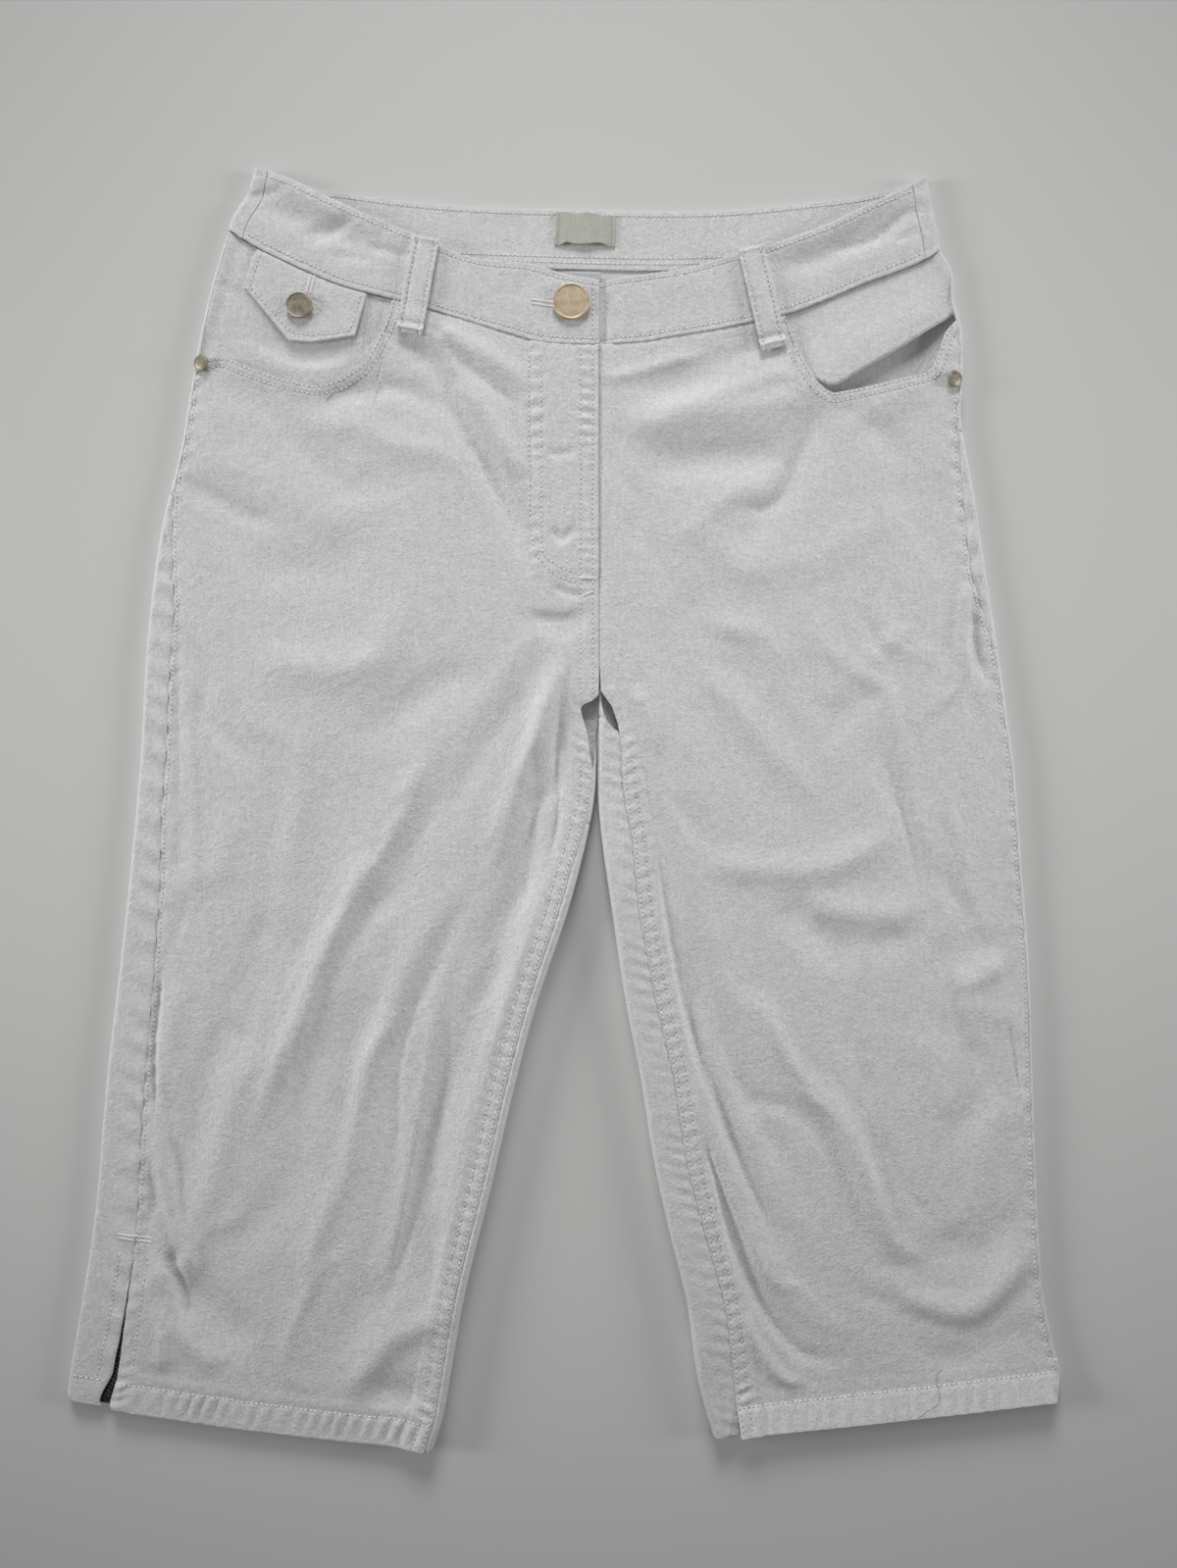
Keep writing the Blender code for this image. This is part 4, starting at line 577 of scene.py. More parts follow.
class Leg:
    """One leg and its half of the seat: t runs down a side, insets run in from it."""

    def __init__(self, side):
        self.side = side
        self.sign = -1 if side == "right" else 1
        self.outer, self.inner = Line(OUTER_EDGE[side]), Line(INNER_EDGE[side])
        self.scoop = Line(SCOOP[side])
        self.scoop_first_x = SCOOP[side][-1 if side == "right" else 0][0]
        self.length = self.inner.length
        self.seams = np.array(SEAMS[side][::-1], dtype=float)
        self.front_seam, self.back_seam = Line(WAIST_SEAM), Line(BACK_WAIST_SEAM)

    def ends(self, t):
        return self.outer.at(t * self.outer.length), self.inner.at(t * self.inner.length)

    def width(self, t):
        (ox, oy), (ix, iy) = self.ends(t)
        return np.hypot(ix - ox, iy - oy)

    def on_row(self, inset, t, back=False):
        """x and y of a point on row t, inset from the outer edge."""
        (ox, oy), (ix, iy) = self.ends(t)
        share = inset / np.hypot(ix - ox, iy - oy)
        (ax, ay), (bx, by) = self.ends(np.zeros(1))
        chord_x, chord_y = ax + (bx - ax) * share, ay + (by - ay) * share
        seam = self.back_seam if back else self.front_seam
        top = seam.y_at_x(chord_x) - chord_y
        hem = HEM_SAG[self.side] * 4 * share * (1 - share)
        lift = top * (1 - smoothstep(0, BACK_BEND if back else FRONT_BEND, t))
        return (ox + (ix - ox) * share,
                oy + (iy - oy) * share + lift - hem * smoothstep(SAG_START, 1, t))

    def seam_value(self, y, name):
        return np.interp(y, self.seams[:, 0], self.seams[:, SEAM_COLUMN[name]])

    def insets(self, t):
        """Side seam, slit width and inseam on row t, from the outer edge."""
        (_, oy), (_, iy) = self.ends(t)
        return (self.seam_value(oy, "seam"), self.seam_value(oy, "slit"),
                self.width(t) - self.seam_value(iy, "inseam"))

    def front_limits(self, t):
        seam, slit, inseam = self.insets(t)
        start = seam + slit + SEAM_GAP / 2
        end = inseam - np.where(inseam < self.width(t) - 1, SEAM_GAP / 2, 0)
        return start, end

    def front_inset(self, column, t):
        start, end = self.front_limits(t)
        return start + (end - start) * column

    def top(self, inset, t, rise=True, fine=True):
        """Height of the upper layer on row t, with both sides rolled over."""
        x, y = self.on_row(inset, t)
        height = body_height(x, y, fine)
        if rise:
            lift, flank = SCOOP_RISE[self.side]
            height = height + crease(x, y, lift, flank, flank, self.scoop)
        height = rolled(height, inset, FOLD_RADIUS)
        from_inner = np.maximum(self.width(t) - inset, 0)
        fold = rolled(height, from_inner, FOLD_RADIUS)
        inner_y = self.inner.at(t * self.inner.length)[1]
        height = height + (fold - height) * fork_share(self.side, inner_y)
        lift = EDGE_LIFT * smoothstep(EDGE_LIFT_FROM_Y, EDGE_LIFT_FULL_Y, inner_y)
        return height + lift * bell(from_inner, EDGE_LIFT_WIDTH)

    def mouth_end(self, column, line, first_x):
        """How far down each column the open pocket reaches, as a share of the row line."""
        steps = np.linspace(0, 0.25, 501)
        ends = []
        for each in np.atleast_1d(column):
            x, y = self.on_row(self.front_inset(each, steps), steps)
            above = y - line.y_at_x(x)
            above = np.where((first_x - x) * self.sign < 0, above, -1.0)
            last = np.nonzero(above > 0)[0]
            if not len(last):
                ends.append(0.0)
                continue
            k = last[-1]
            part = above[k] / max(above[k] - above[k + 1], 0.05)
            ends.append(steps[k] + (steps[1] - steps[0]) * min(part, 1.0))
        return np.array(ends)

    def scoop_start(self, column):
        return self.mouth_end(column, self.scoop, self.scoop_first_x)


LEGS = {side: Leg(side) for side in ("right", "left")}
print("row line, mm:", {side: round(leg.length, 1) for side, leg in LEGS.items()})

# %% [markdown]
# ## Sewing
# What makes cloth look sewn is the way that it gathers along a row of stitches. A stitched
# row sinks a little, the cloth beside it stands in small uneven puckers, and a felled seam
# or a hem is one layer thicker. One function sinks a row and puckers the cloth beside it,
# told how far a point is from the row and how far along it lies.

# %% Puckers beside a stitched row
GROOVE_WIDTH = 1.0


def stitched(away, along, spacing, height, reach, lean, seed, groove=0.25):
    """A sunken row of stitches at away = 0, with leaning puckers on both sides."""
    ripple = gathers(along + lean * away, spacing, seed)
    return height * ripple * bell(away, reach) - groove * bell(away, GROOVE_WIDTH)


# %% Seams, hem and fly of a front panel
SIDE_STITCH, INSEAM_STITCH, FELL_STITCH, FELL_WIDTH = 2.0, 1.8, 7.0, 13.0
HEM_STITCH = 15.0
SLIT_TOP_SHARE, SLIT_STITCH = 0.868, 8.0
SCOOP_STITCHES = (1.3, 5.2)
FLY_COLUMNS = (3.7, 10.6)           # edge rows, from the edge of the fly
FLY_J = [(-12.7, 259), (-12.9, 225), (-12.6, 190), (-12.7, 150), (-11.1, 144.4),
         (-8.9, 141.2), (-5.7, 139), (-0.4, 135.9), (9.4, 132.6)]
FLY_J_OUTER = [(-19.7, 259), (-19.9, 225), (-19.5, 190), (-19.2, 163.9), (-18.1, 155.2),
               (-16.4, 145.5), (-11.1, 138), (-5.7, 132.7), (2.9, 129.4), (9.4, 127.3)]
fly_rows = [Line(FLY_J), Line(FLY_J_OUTER)]
FELL_RISE, HEM_RISE = 0.6, 0.45     # the extra layers of a felled seam and of a hem
HEM_RIDGE, HEM_RIDGE_ABOVE = 0.42, 4.2
INSEAM_PUCKER, INSEAM_PUCKER_AT, INSEAM_PUCKER_SPACING = 0.95, 5.0, 7.4
HEM_PUCKER, HEM_PUCKER_SPACING = 1.25, 8.2


def row_length(leg, t):
    return t * leg.length


def front_sewing(leg, inset, t):
    """What the seams, the hem, the fly and the pocket edge add to a front panel."""
    x, y = leg.on_row(inset, t)
    start, end = leg.front_limits(t)
    from_side, from_inseam = inset - start, end - inset
    along = row_length(leg, t)
    seed = 11 if leg.side == "right" else 12
    inner_y = leg.inner.at(along)[1]
    below_fork = 1 - smoothstep(30, 50, inner_y)
    from_hem = leg.length - along
    add = -0.5 * bell(from_side, 1.3)
    add = add + stitched(from_side - SIDE_STITCH, along, 11, 0.55, 3.5, 0.5, seed)
    fell = smoothstep(FELL_WIDTH + 1.5, FELL_WIDTH - 1.0, from_inseam)
    above_hem = smoothstep(HEM_STITCH - 6, HEM_STITCH + 8, from_hem)
    ladder = gathers(along + 0.25 * from_inseam, INSEAM_PUCKER_SPACING, seed + 2, 0.6)
    add = add + below_fork * (FELL_RISE * fell - FELL_RISE * bell(from_inseam, 1.3)
                              + above_hem * INSEAM_PUCKER
                              * bell(from_inseam - INSEAM_PUCKER_AT, 4.2) * ladder
                              - 0.3 * bell(from_inseam - FELL_STITCH, GROOVE_WIDTH)
                              - 0.25 * bell(from_inseam - INSEAM_STITCH, GROOVE_WIDTH))
    centre = (1 - below_fork) * smoothstep(150, 120, y)
    add = add - centre * 0.5 * bell(from_inseam, 1.5)
    add = add + centre * stitched(from_inseam - 2.4, along, 6.5, 0.22, 3.0, 0.3, seed + 4)
    hem = smoothstep(HEM_STITCH + 0.8, HEM_STITCH - 1.0, from_hem)
    swell = np.clip(0.6 + 0.5 * patchy(inset, inset * 0, 34, seed + 5), 0.45, 1)
    add = add + HEM_RISE * hem - 0.25 * bell(from_hem - HEM_STITCH, GROOVE_WIDTH)
    add = add + HEM_RIDGE * bell(from_hem - HEM_STITCH - HEM_RIDGE_ABOVE, 3.0)
    add = add + HEM_CURL[leg.side] * np.clip(1 - from_hem / (HEM_STITCH + 3), 0, 1)
    ripple = gathers(inset + 0.2 * (HEM_STITCH - from_hem), HEM_PUCKER_SPACING, seed + 6)
    reach = np.where(from_hem < HEM_STITCH, 11.0, 3.2)
    add = add + HEM_PUCKER * swell * ripple * bell(from_hem - HEM_STITCH * 0.75, reach)
    at_waist = 0.26 * gathers(inset, 6.5, seed + 7) * bell(along, 3.5)
    add = add - 0.4 * bell(along, 1.3) + at_waist
    if leg.side == "right":
        by_slit = smoothstep(SLIT_TOP_SHARE - 0.005, SLIT_TOP_SHARE + 0.02, t)
        add = add + by_slit * (stitched(from_side - 5, along, 8.5, 0.5, 4.5, 0.4, seed + 10, 0)
                               + 0.4 * bell(from_side - SLIT_STITCH - 3, 2.4))
    away, run = leg.scoop.near(x, y, 16)
    away = np.abs(away)
    first, second = SCOOP_STITCHES
    add = add + stitched(away - first, run, 6.0, 0.14, 2.2, 0.4, seed + 8, 0.2)
    add = add + stitched(away - second, run, 7.5, 0.26, 3.4, 0.4, seed + 9)
    if leg.side == "right":
        add = add + fly_sewing(x, y)
    else:
        add = add - 0.6 * bell(x - CENTRE_X, 1.8) * smoothstep(118, 130, y)
    return add


def fly_sewing(x, y):
    """The covered fly: thicker to its edge, with stitches in a J and pulls across."""
    depth = CENTRE_X - x
    on_fly = (smoothstep(FLY_WIDTH + 2, FLY_WIDTH, depth) * smoothstep(MERGE_LEVEL - 9,
                                                                      MERGE_LEVEL, y))
    outer_band = gathers(y + 0.15 * depth, 7.6, 31) * bell(x + 16, 4.2)
    edge_band = gathers(y - 0.12 * depth, 6.6, 32) * bell(x - 12.8, 4.2)
    strength = 1.2 + 0.8 * bell(y - 219, 15) + 0.5 * bell(y - 150, 12)
    add = on_fly * FLY_EXTRA / 2
    add = add + smoothstep(118, 130, y) * strength * (0.34 * outer_band + 0.42 * edge_band)
    for row in fly_rows:
        away, run = row.near(x, y, 14)
        pulls = 0.10 * gathers(run, 5.6, 33) * bell(away, 2)
        add = add - 0.3 * bell(away, GROOVE_WIDTH) + pulls
    add = add - 0.3 * sum(bell(depth - column, GROOVE_WIDTH) for column in FLY_COLUMNS)
    edge = smoothstep(126, 134, y)
    return add - edge * 0.35 * bell(depth, 0.9)


print("fly rows, mm:", [round(row.length) for row in fly_rows])

# %% [markdown]
# ## Cloth and metal finishes
# The trousers are a bleached cotton twill. Close up it has fine slanting ribs and a loose
# fuzz, and from a step away it only looks slightly mottled. Both are height for a bump and
# a faint change of tone, so they are one group that each cotton finish uses with its own
# strength. Metals get fine scratches and darker patches from a second group.

# %% Node helpers


def new_group(name, inputs, outputs):
    """An empty shader group: inputs are name: value, outputs are names."""
    group = bpy.data.node_groups.new(name, "ShaderNodeTree")
    for label, value in inputs.items():
        socket = group.interface.new_socket(label, in_out="INPUT",
                                            socket_type="NodeSocketFloat")
        socket.default_value = value
    for label in outputs:
        group.interface.new_socket(label, in_out="OUTPUT", socket_type="NodeSocketFloat")
    return group


def math_node(tree, operation, first, second=None):
    node = tree.nodes.new("ShaderNodeMath")
    node.operation = operation
    for socket, value in zip(node.inputs, (first, second)):
        if value is None:
            continue
        if isinstance(value, (int, float)):
            socket.default_value = value
        else:
            tree.links.new(value, socket)
    return node.outputs[0]


def plus(tree, first, second):
    return math_node(tree, "ADD", first, second)


def times(tree, first, second):
    return math_node(tree, "MULTIPLY", first, second)


def noise_node(tree, vector, scale, detail=2.0, rough=0.5):
    node = tree.nodes.new("ShaderNodeTexNoise")
    node.inputs["Scale"].default_value = scale
    node.inputs["Detail"].default_value = detail
    node.inputs["Roughness"].default_value = rough
    tree.links.new(vector, node.inputs["Vector"])
    return node.outputs["Fac"]


# %% Twill group
TWILL_SLANT, RIB_WOBBLE = 0.55, 0.0012
twill_group = new_group("twill_weave", {"Ribs per metre": 900.0, "Fuzz": 1.0},
                        ["Height", "Mottle"])


def fill_twill(tree):
    start = tree.nodes.new("NodeGroupInput")
    end = tree.nodes.new("NodeGroupOutput")
    place = tree.nodes.new("ShaderNodeTexCoord").outputs["Object"]
    split = tree.nodes.new("ShaderNodeSeparateXYZ")
    tree.links.new(place, split.inputs[0])
    slant = plus(tree, split.outputs["X"], times(tree, split.outputs["Y"], TWILL_SLANT))
    wobble = times(tree, noise_node(tree, place, 260.0), RIB_WOBBLE)
    phase = times(tree, plus(tree, slant, wobble), start.outputs["Ribs per metre"])
    ribs = math_node(tree, "SINE", times(tree, phase, 2 * math.pi))
    warp = tree.nodes.new("ShaderNodeMapping")
    warp.inputs["Scale"].default_value = (1.0, 0.2, 1.0)
    tree.links.new(place, warp.inputs["Vector"])
    slub = noise_node(tree, warp.outputs["Vector"], 620.0, 2.0, 0.6)
    fuzz = noise_node(tree, place, 1300.0, 2.0, 0.6)
    grain = noise_node(tree, place, 560.0, 1.0, 0.6)
    clumps = noise_node(tree, place, 230.0, 2.0, 0.5)
    height = plus(tree, times(tree, ribs, 0.18), times(tree, fuzz, start.outputs["Fuzz"]))
    mottle = 0.0
    for source, in_height, in_mottle in ((grain, 1.3, 0.30), (slub, 0.9, 0.30),
                                         (clumps, 1.6, 0.15), (fuzz, 0.0, 0.25)):
        height = plus(tree, height, times(tree, source, in_height))
        mottle = plus(tree, times(tree, source, in_mottle), mottle)
    tree.links.new(height, end.inputs["Height"])
    tree.links.new(mottle, end.inputs["Mottle"])


fill_twill(twill_group)
print("twill group nodes:", len(twill_group.nodes))

# %% Finishes


def finish_of(name, roughness, metallic=0.0, sheen=0.0):
    made = bpy.data.materials.new(name)
    made.use_nodes = True
    shader = made.node_tree.nodes["Principled BSDF"]
    shader.inputs["Roughness"].default_value = roughness
    shader.inputs["Metallic"].default_value = metallic
    shader.inputs["Sheen Weight"].default_value = sheen
    shader.inputs["Sheen Roughness"].default_value = 0.5
    return made, made.node_tree, shader


def tone_between(tree, mask, dark, light, low=0.35, high=0.65):
    ramp = tree.nodes.new("ShaderNodeValToRGB")
    ramp.color_ramp.elements[0].position = low
    ramp.color_ramp.elements[0].color = (*dark, 1)
    ramp.color_ramp.elements[1].position = high
    ramp.color_ramp.elements[1].color = (*light, 1)
    tree.links.new(mask, ramp.inputs["Fac"])
    return ramp.outputs["Color"]


def add_bump(tree, shader, height, strength, distance):
    bump = tree.nodes.new("ShaderNodeBump")
    bump.inputs["Strength"].default_value = strength
    bump.inputs["Distance"].default_value = distance
    tree.links.new(height, bump.inputs["Height"])
    tree.links.new(bump.outputs["Normal"], shader.inputs["Normal"])


def woven_finish(name, dark, light, ribs, strength, fuzz=1.0, roughness=0.92):
    made, tree, shader = finish_of(name, roughness, sheen=0.12)
    weave = tree.nodes.new("ShaderNodeGroup")
    weave.node_tree = twill_group
    weave.inputs["Ribs per metre"].default_value = ribs
    weave.inputs["Fuzz"].default_value = fuzz
    colour = tone_between(tree, weave.outputs["Mottle"], dark, light)
    tree.links.new(colour, shader.inputs["Base Color"])
    add_bump(tree, shader, weave.outputs["Height"], strength, 0.00025)
    return made


def thread_finish(name, dark, light):
    """Spun yarn: finer ribs than cloth, and hardly any fuzz."""
    return woven_finish(name, dark, light, ribs=2200.0, strength=0.3, fuzz=0.3)


twill = woven_finish("bleached_twill", (0.70, 0.698, 0.705), (0.90, 0.90, 0.902), 900.0, 1.2)
thread = thread_finish("cotton_thread", (0.88, 0.88, 0.875), (0.96, 0.96, 0.955))
ribbon = woven_finish("grey_green_ribbon", (0.47, 0.48, 0.415), (0.59, 0.60, 0.535), 1600.0,
                      0.5, 0.4, 0.75)
tag_ribbon = woven_finish("cool_white_ribbon", (0.54, 0.565, 0.60), (0.66, 0.68, 0.715),
                          1600.0, 0.4, 0.4, 0.7)
ribbon_thread = thread_finish("ribbon_thread", (0.34, 0.35, 0.30), (0.46, 0.47, 0.41))
# dark specks of painted shade for the needle holes, where the cloth shadows itself
painted_hole_shade = thread_finish("painted_hole_shade", (0.34, 0.34, 0.35), (0.46, 0.46, 0.47))
loose_thread = thread_finish("loose_thread", (0.50, 0.50, 0.49), (0.62, 0.62, 0.61))
black_tape = woven_finish("black_tape", (0.006, 0.006, 0.007), (0.022, 0.022, 0.024), 1800.0,
                          0.8, 0.5, 0.8)
print("cloth finishes:", [m.name for m in (twill, thread, ribbon, black_tape)])

# %% [markdown]
# Satin metal is brushed and then handled: fine scratches in every direction, darker breath
# in patches, and small bright rubs. One group makes them for all three metals.

# %% Metals
metal_group = new_group("handled_metal", {"Grain": 1.0}, ["Height", "Rub"])


def fill_metal(tree):
    start = tree.nodes.new("NodeGroupInput")
    end = tree.nodes.new("NodeGroupOutput")
    place = tree.nodes.new("ShaderNodeTexCoord").outputs["Object"]
    grain = noise_node(tree, place, 2600.0, 4.0, 0.7)
    breath = noise_node(tree, place, 320.0, 3.0, 0.6)
    scratch = noise_node(tree, place, 900.0, 5.0, 0.75)
    tree.links.new(times(tree, grain, start.outputs["Grain"]), end.inputs["Height"])
    rub = plus(tree, times(tree, breath, 0.6), times(tree, scratch, 0.4))
    tree.links.new(rub, end.inputs["Rub"])


fill_metal(metal_group)


def metal_finish(name, dark, light, rough_low, rough_high):
    made, tree, shader = finish_of(name, rough_low, metallic=0.85)
    handled = tree.nodes.new("ShaderNodeGroup")
    handled.node_tree = metal_group
    colour = tone_between(tree, handled.outputs["Rub"], dark, light, 0.38, 0.62)
    tree.links.new(colour, shader.inputs["Base Color"])
    rough = times(tree, handled.outputs["Rub"], rough_high - rough_low)
    tree.links.new(plus(tree, rough, rough_low), shader.inputs["Roughness"])
    add_bump(tree, shader, handled.outputs["Height"], 0.35, 0.00005)
    return made


rose_gold = metal_finish("satin_rose_gold", (0.54, 0.435, 0.315), (0.74, 0.605, 0.45),
                         0.42, 0.66)
old_brass = metal_finish("handled_brass", (0.27, 0.24, 0.185), (0.46, 0.415, 0.33), 0.38, 0.66)
zip_steel = metal_finish("dark_zip_steel", (0.03, 0.03, 0.032), (0.20, 0.20, 0.21), 0.3, 0.6)
print("metals:", [m.name for m in (rose_gold, old_brass, zip_steel)])

# %% [markdown]
# ## From a flat grid to a sheet of cloth
# A sheet starts as a flat grid. Its points are moved on to the surface that a function
# gives, and Solidify then gives the cloth its wall. The grid's lines are drawn closer
# together near seams, where the cloth has the finest form.

# %% Sheet maker
pieces = {}


def spread(stops):
    """Positions for grid lines: stops are (position, how many steps lead to it)."""
    values = [stops[0][0]]
    for (low, _), (high, count) in zip(stops, stops[1:]):
        values += list(low + (high - low) * np.arange(1, count + 1) / count)
    return np.array(values)


def evenly(*counts):
    """Positions from 0 to 1 for each of these counts of even steps."""
    return [spread([(0, 1), (1, count)]) for count in counts]


def made_mesh(name, shape, smooth=True):
    """The shape as a mesh; the shape itself isn't needed after that."""
    for face in shape.faces:
        face.smooth = smooth
    mesh = bpy.data.meshes.new(name)
    shape.to_mesh(mesh)
    shape.free()
    return mesh


def finish_piece(name, mesh, finish, slot):
    piece = bpy.data.objects.new(name, mesh)
    mesh.materials.append(finish)
    bpy.context.collection.objects.link(piece)
    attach(piece, "root")
    pieces[name] = piece
    return piece


def cloth_sheet(name, surface, columns, rows, wall, outward, finish=twill,
                slot="white_twill", soften=0.25, wall_share=None):
    """A grid moved on to surface(u, v), which gives x, y and z in millimetres."""
    grid = bmesh.new()
    bmesh.ops.create_grid(grid, x_segments=len(columns) - 1, y_segments=len(rows) - 1, size=1)
    flat = np.array([vert.co[:2] for vert in grid.verts])
    across = np.rint((flat[:, 0] + 1) / 2 * (len(columns) - 1)).astype(int)
    down = np.rint((1 - flat[:, 1]) / 2 * (len(rows) - 1)).astype(int)
    u, v = columns[across], rows[down]
    x, y, z = surface(u, v)
    points = np.stack([x, y, z], -1) * MM
    for vert, point in zip(grid.verts, points):
        vert.co = point
    grid.normal_update()
    grid.verts.ensure_lookup_table()
    from_middle = np.abs(across - len(columns) // 2) + np.abs(down - len(rows) // 2)
    middle = grid.verts[int(from_middle.argmin())].link_faces[0]
    if middle.normal.dot(Vector(outward)) < 0:
        bmesh.ops.reverse_faces(grid, faces=grid.faces)
    piece = finish_piece(name, made_mesh(name, grid), finish, slot)
    solid = piece.modifiers.new("wall", "SOLIDIFY")
    solid.thickness = wall * MM
    solid.offset = -1
    if wall_share is not None:
        group = piece.vertex_groups.new(name="wall_share")
        shares = wall_share(u, v)
        for level in np.unique(shares):
            points_at_level = [int(k) for k in np.nonzero(shares == level)[0]]
            group.add(points_at_level, float(level), "REPLACE")
        solid.vertex_group = group.name
    if soften:
        rim = piece.modifiers.new("soft_edge", "BEVEL")
        rim.width = soften * MM
        rim.segments = 2
        rim.limit_method = "ANGLE"
        rim.angle_limit = math.radians(60)
    return piece


def flat_area(surface, columns, rows):
    """Area of the sheet that surface gives, in square metres."""
    u, v = np.meshgrid(columns, rows)
    x, y, z = surface(u.ravel(), v.ravel())
    net = np.stack([x, y, z], -1).reshape(len(rows), len(columns), 3) * MM
    first, second = np.diff(net[:, :-1], axis=0), np.diff(net[:-1], axis=1)
    return float(np.linalg.norm(np.cross(first, second), axis=-1).sum())


# %% [markdown]
# ## Front panels
# The right front carries the fly and laps over the left one. Both start at the waist seam
# and the scooped pocket edge, and end in a turned-up hem.

# %% Front panels
NOMINAL_ROW_LINE = 640.0
HEM_ROW = 1 - HEM_DEPTH / NOMINAL_ROW_LINE


def squeezed(leg, start, v):
    """Row shares of columns whose top is cut away by the pocket."""
    merge = leg.inner.share_at_y(MERGE_LEVEL)
    return np.where(v < merge, start + (merge - start) * v / merge, v)


def front_surface(leg, column_stops):
    starts = leg.scoop_start(column_stops)

    def surface(u, v):
        t = squeezed(leg, np.interp(u, column_stops, starts), v)
        inset = leg.front_inset(u, t)
        x, y = leg.on_row(inset, t)
        return x, y, leg.top(inset, t) + front_sewing(leg, inset, t)
    return surface


def front_rows(leg):
    fork = leg.inner.share_at_y(50)
    return spread([(0, 1), (0.012, 8), (0.12, 50), (0.30, 70), (fork, 24), (fork + 0.06, 18),
                   (HEM_ROW - 0.02, 138), (1, 30)])


FRONT_STOPS = {
    "right": [(0, 1), (0.04, 8), (0.42, 40), (0.47, 8), (0.79, 28), (1, 44)],
    "left": [(0, 1), (0.04, 8), (0.43, 42), (0.48, 8), (0.91, 42), (1, 24)],
}

for side, leg in LEGS.items():
    columns, rows = spread(FRONT_STOPS[side]), front_rows(leg)
    surface = front_surface(leg, columns)

    def hem_wall(u, v):
        return np.where(v > HEM_ROW, 1.0, CLOTH / HEM_WALL)

    front = cloth_sheet(f"front_panel_cloth_{side}", surface, columns, rows, HEM_WALL,
                        (0, 0, 1), wall_share=hem_wall)
    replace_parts(front, f"front_panel_{side}")
    area = flat_area(surface, columns[::3], rows[::3])
    print(front.name, "points:", len(front.data.vertices), "area, m2:", round(area, 3))

# %% [markdown]
# ## Back panels
# A back panel lies on the floor, rolls up round both sides of the leg and ends at the
# seams that show on top. At the fork its inner edge is still flat, and further down it
# turns over little by little.

# %% Back panels
ARC_SHARE = 0.5         # share of a roll's grid lines that lie on its arc
UPRIGHT = 0.5           # turn at which the edge stands straight up
REACH_TURN = 0.28       # turn from there until the strip reaches its seam
CENTRE_RUN = 2.0


def roll(height_at, strip, radius, share, turn):
    """Distance from the folded edge and height of points round a rolled side."""
    folded = np.clip((turn - UPRIGHT) / REACH_TURN, 0, 1)
    reach = np.where(turn < 1, radius + (strip - radius) * folded, strip)
    crown = height_at(np.maximum(strip, radius))
    half_turn = np.minimum(turn * 2, 1.0)
    shift = np.where(turn <= UPRIGHT,
                     radius * (1 - np.sin(math.pi * np.minimum(half_turn, 0.5))), 0)
    end = np.degrees(np.arccos(np.clip((radius - reach) / radius, -1, 1)))
    long_strip = reach > radius
    angle = np.where(turn <= UPRIGHT, -90 + 180 * half_turn * share,
                     np.where(long_strip, -90 + 180 * np.minimum(share / ARC_SHARE, 1),
                              -90 + (90 + end) * share))
    top = np.where(long_strip & (turn > UPRIGHT), height_at(radius + strip * 0), crown)
    rise = np.where(angle < 0, radius, top - radius)
    arc_distance = radius - shift - radius * np.cos(np.radians(angle))
    arc_height = radius + rise * np.sin(np.radians(angle))
    along = (share - ARC_SHARE) / (1 - ARC_SHARE)
    flat_distance = radius + (reach - radius) * np.maximum(along, 0)
    on_top = long_strip & (share > ARC_SHARE) & (turn > UPRIGHT)
    return (np.where(on_top, flat_distance, arc_distance),
            np.where(on_top, height_at(np.where(on_top, flat_distance, radius)), arc_height))


def strip_sewing(leg, strip_distance, strip, t, seed, spacing, height):
    """Puckers on the part of a back panel that shows on top, beside its seam."""
    along = row_length(leg, t)
    from_seam = strip - strip_distance
    wide = smoothstep(4, 8, strip)
    ripple = gathers(along + 0.5 * from_seam, spacing, seed)
    puckers = height * ripple * bell(from_seam - 4, 7)
    return (wide * puckers - 0.45 * bell(from_seam, 1.2)) * (strip_distance > FOLD_RADIUS)


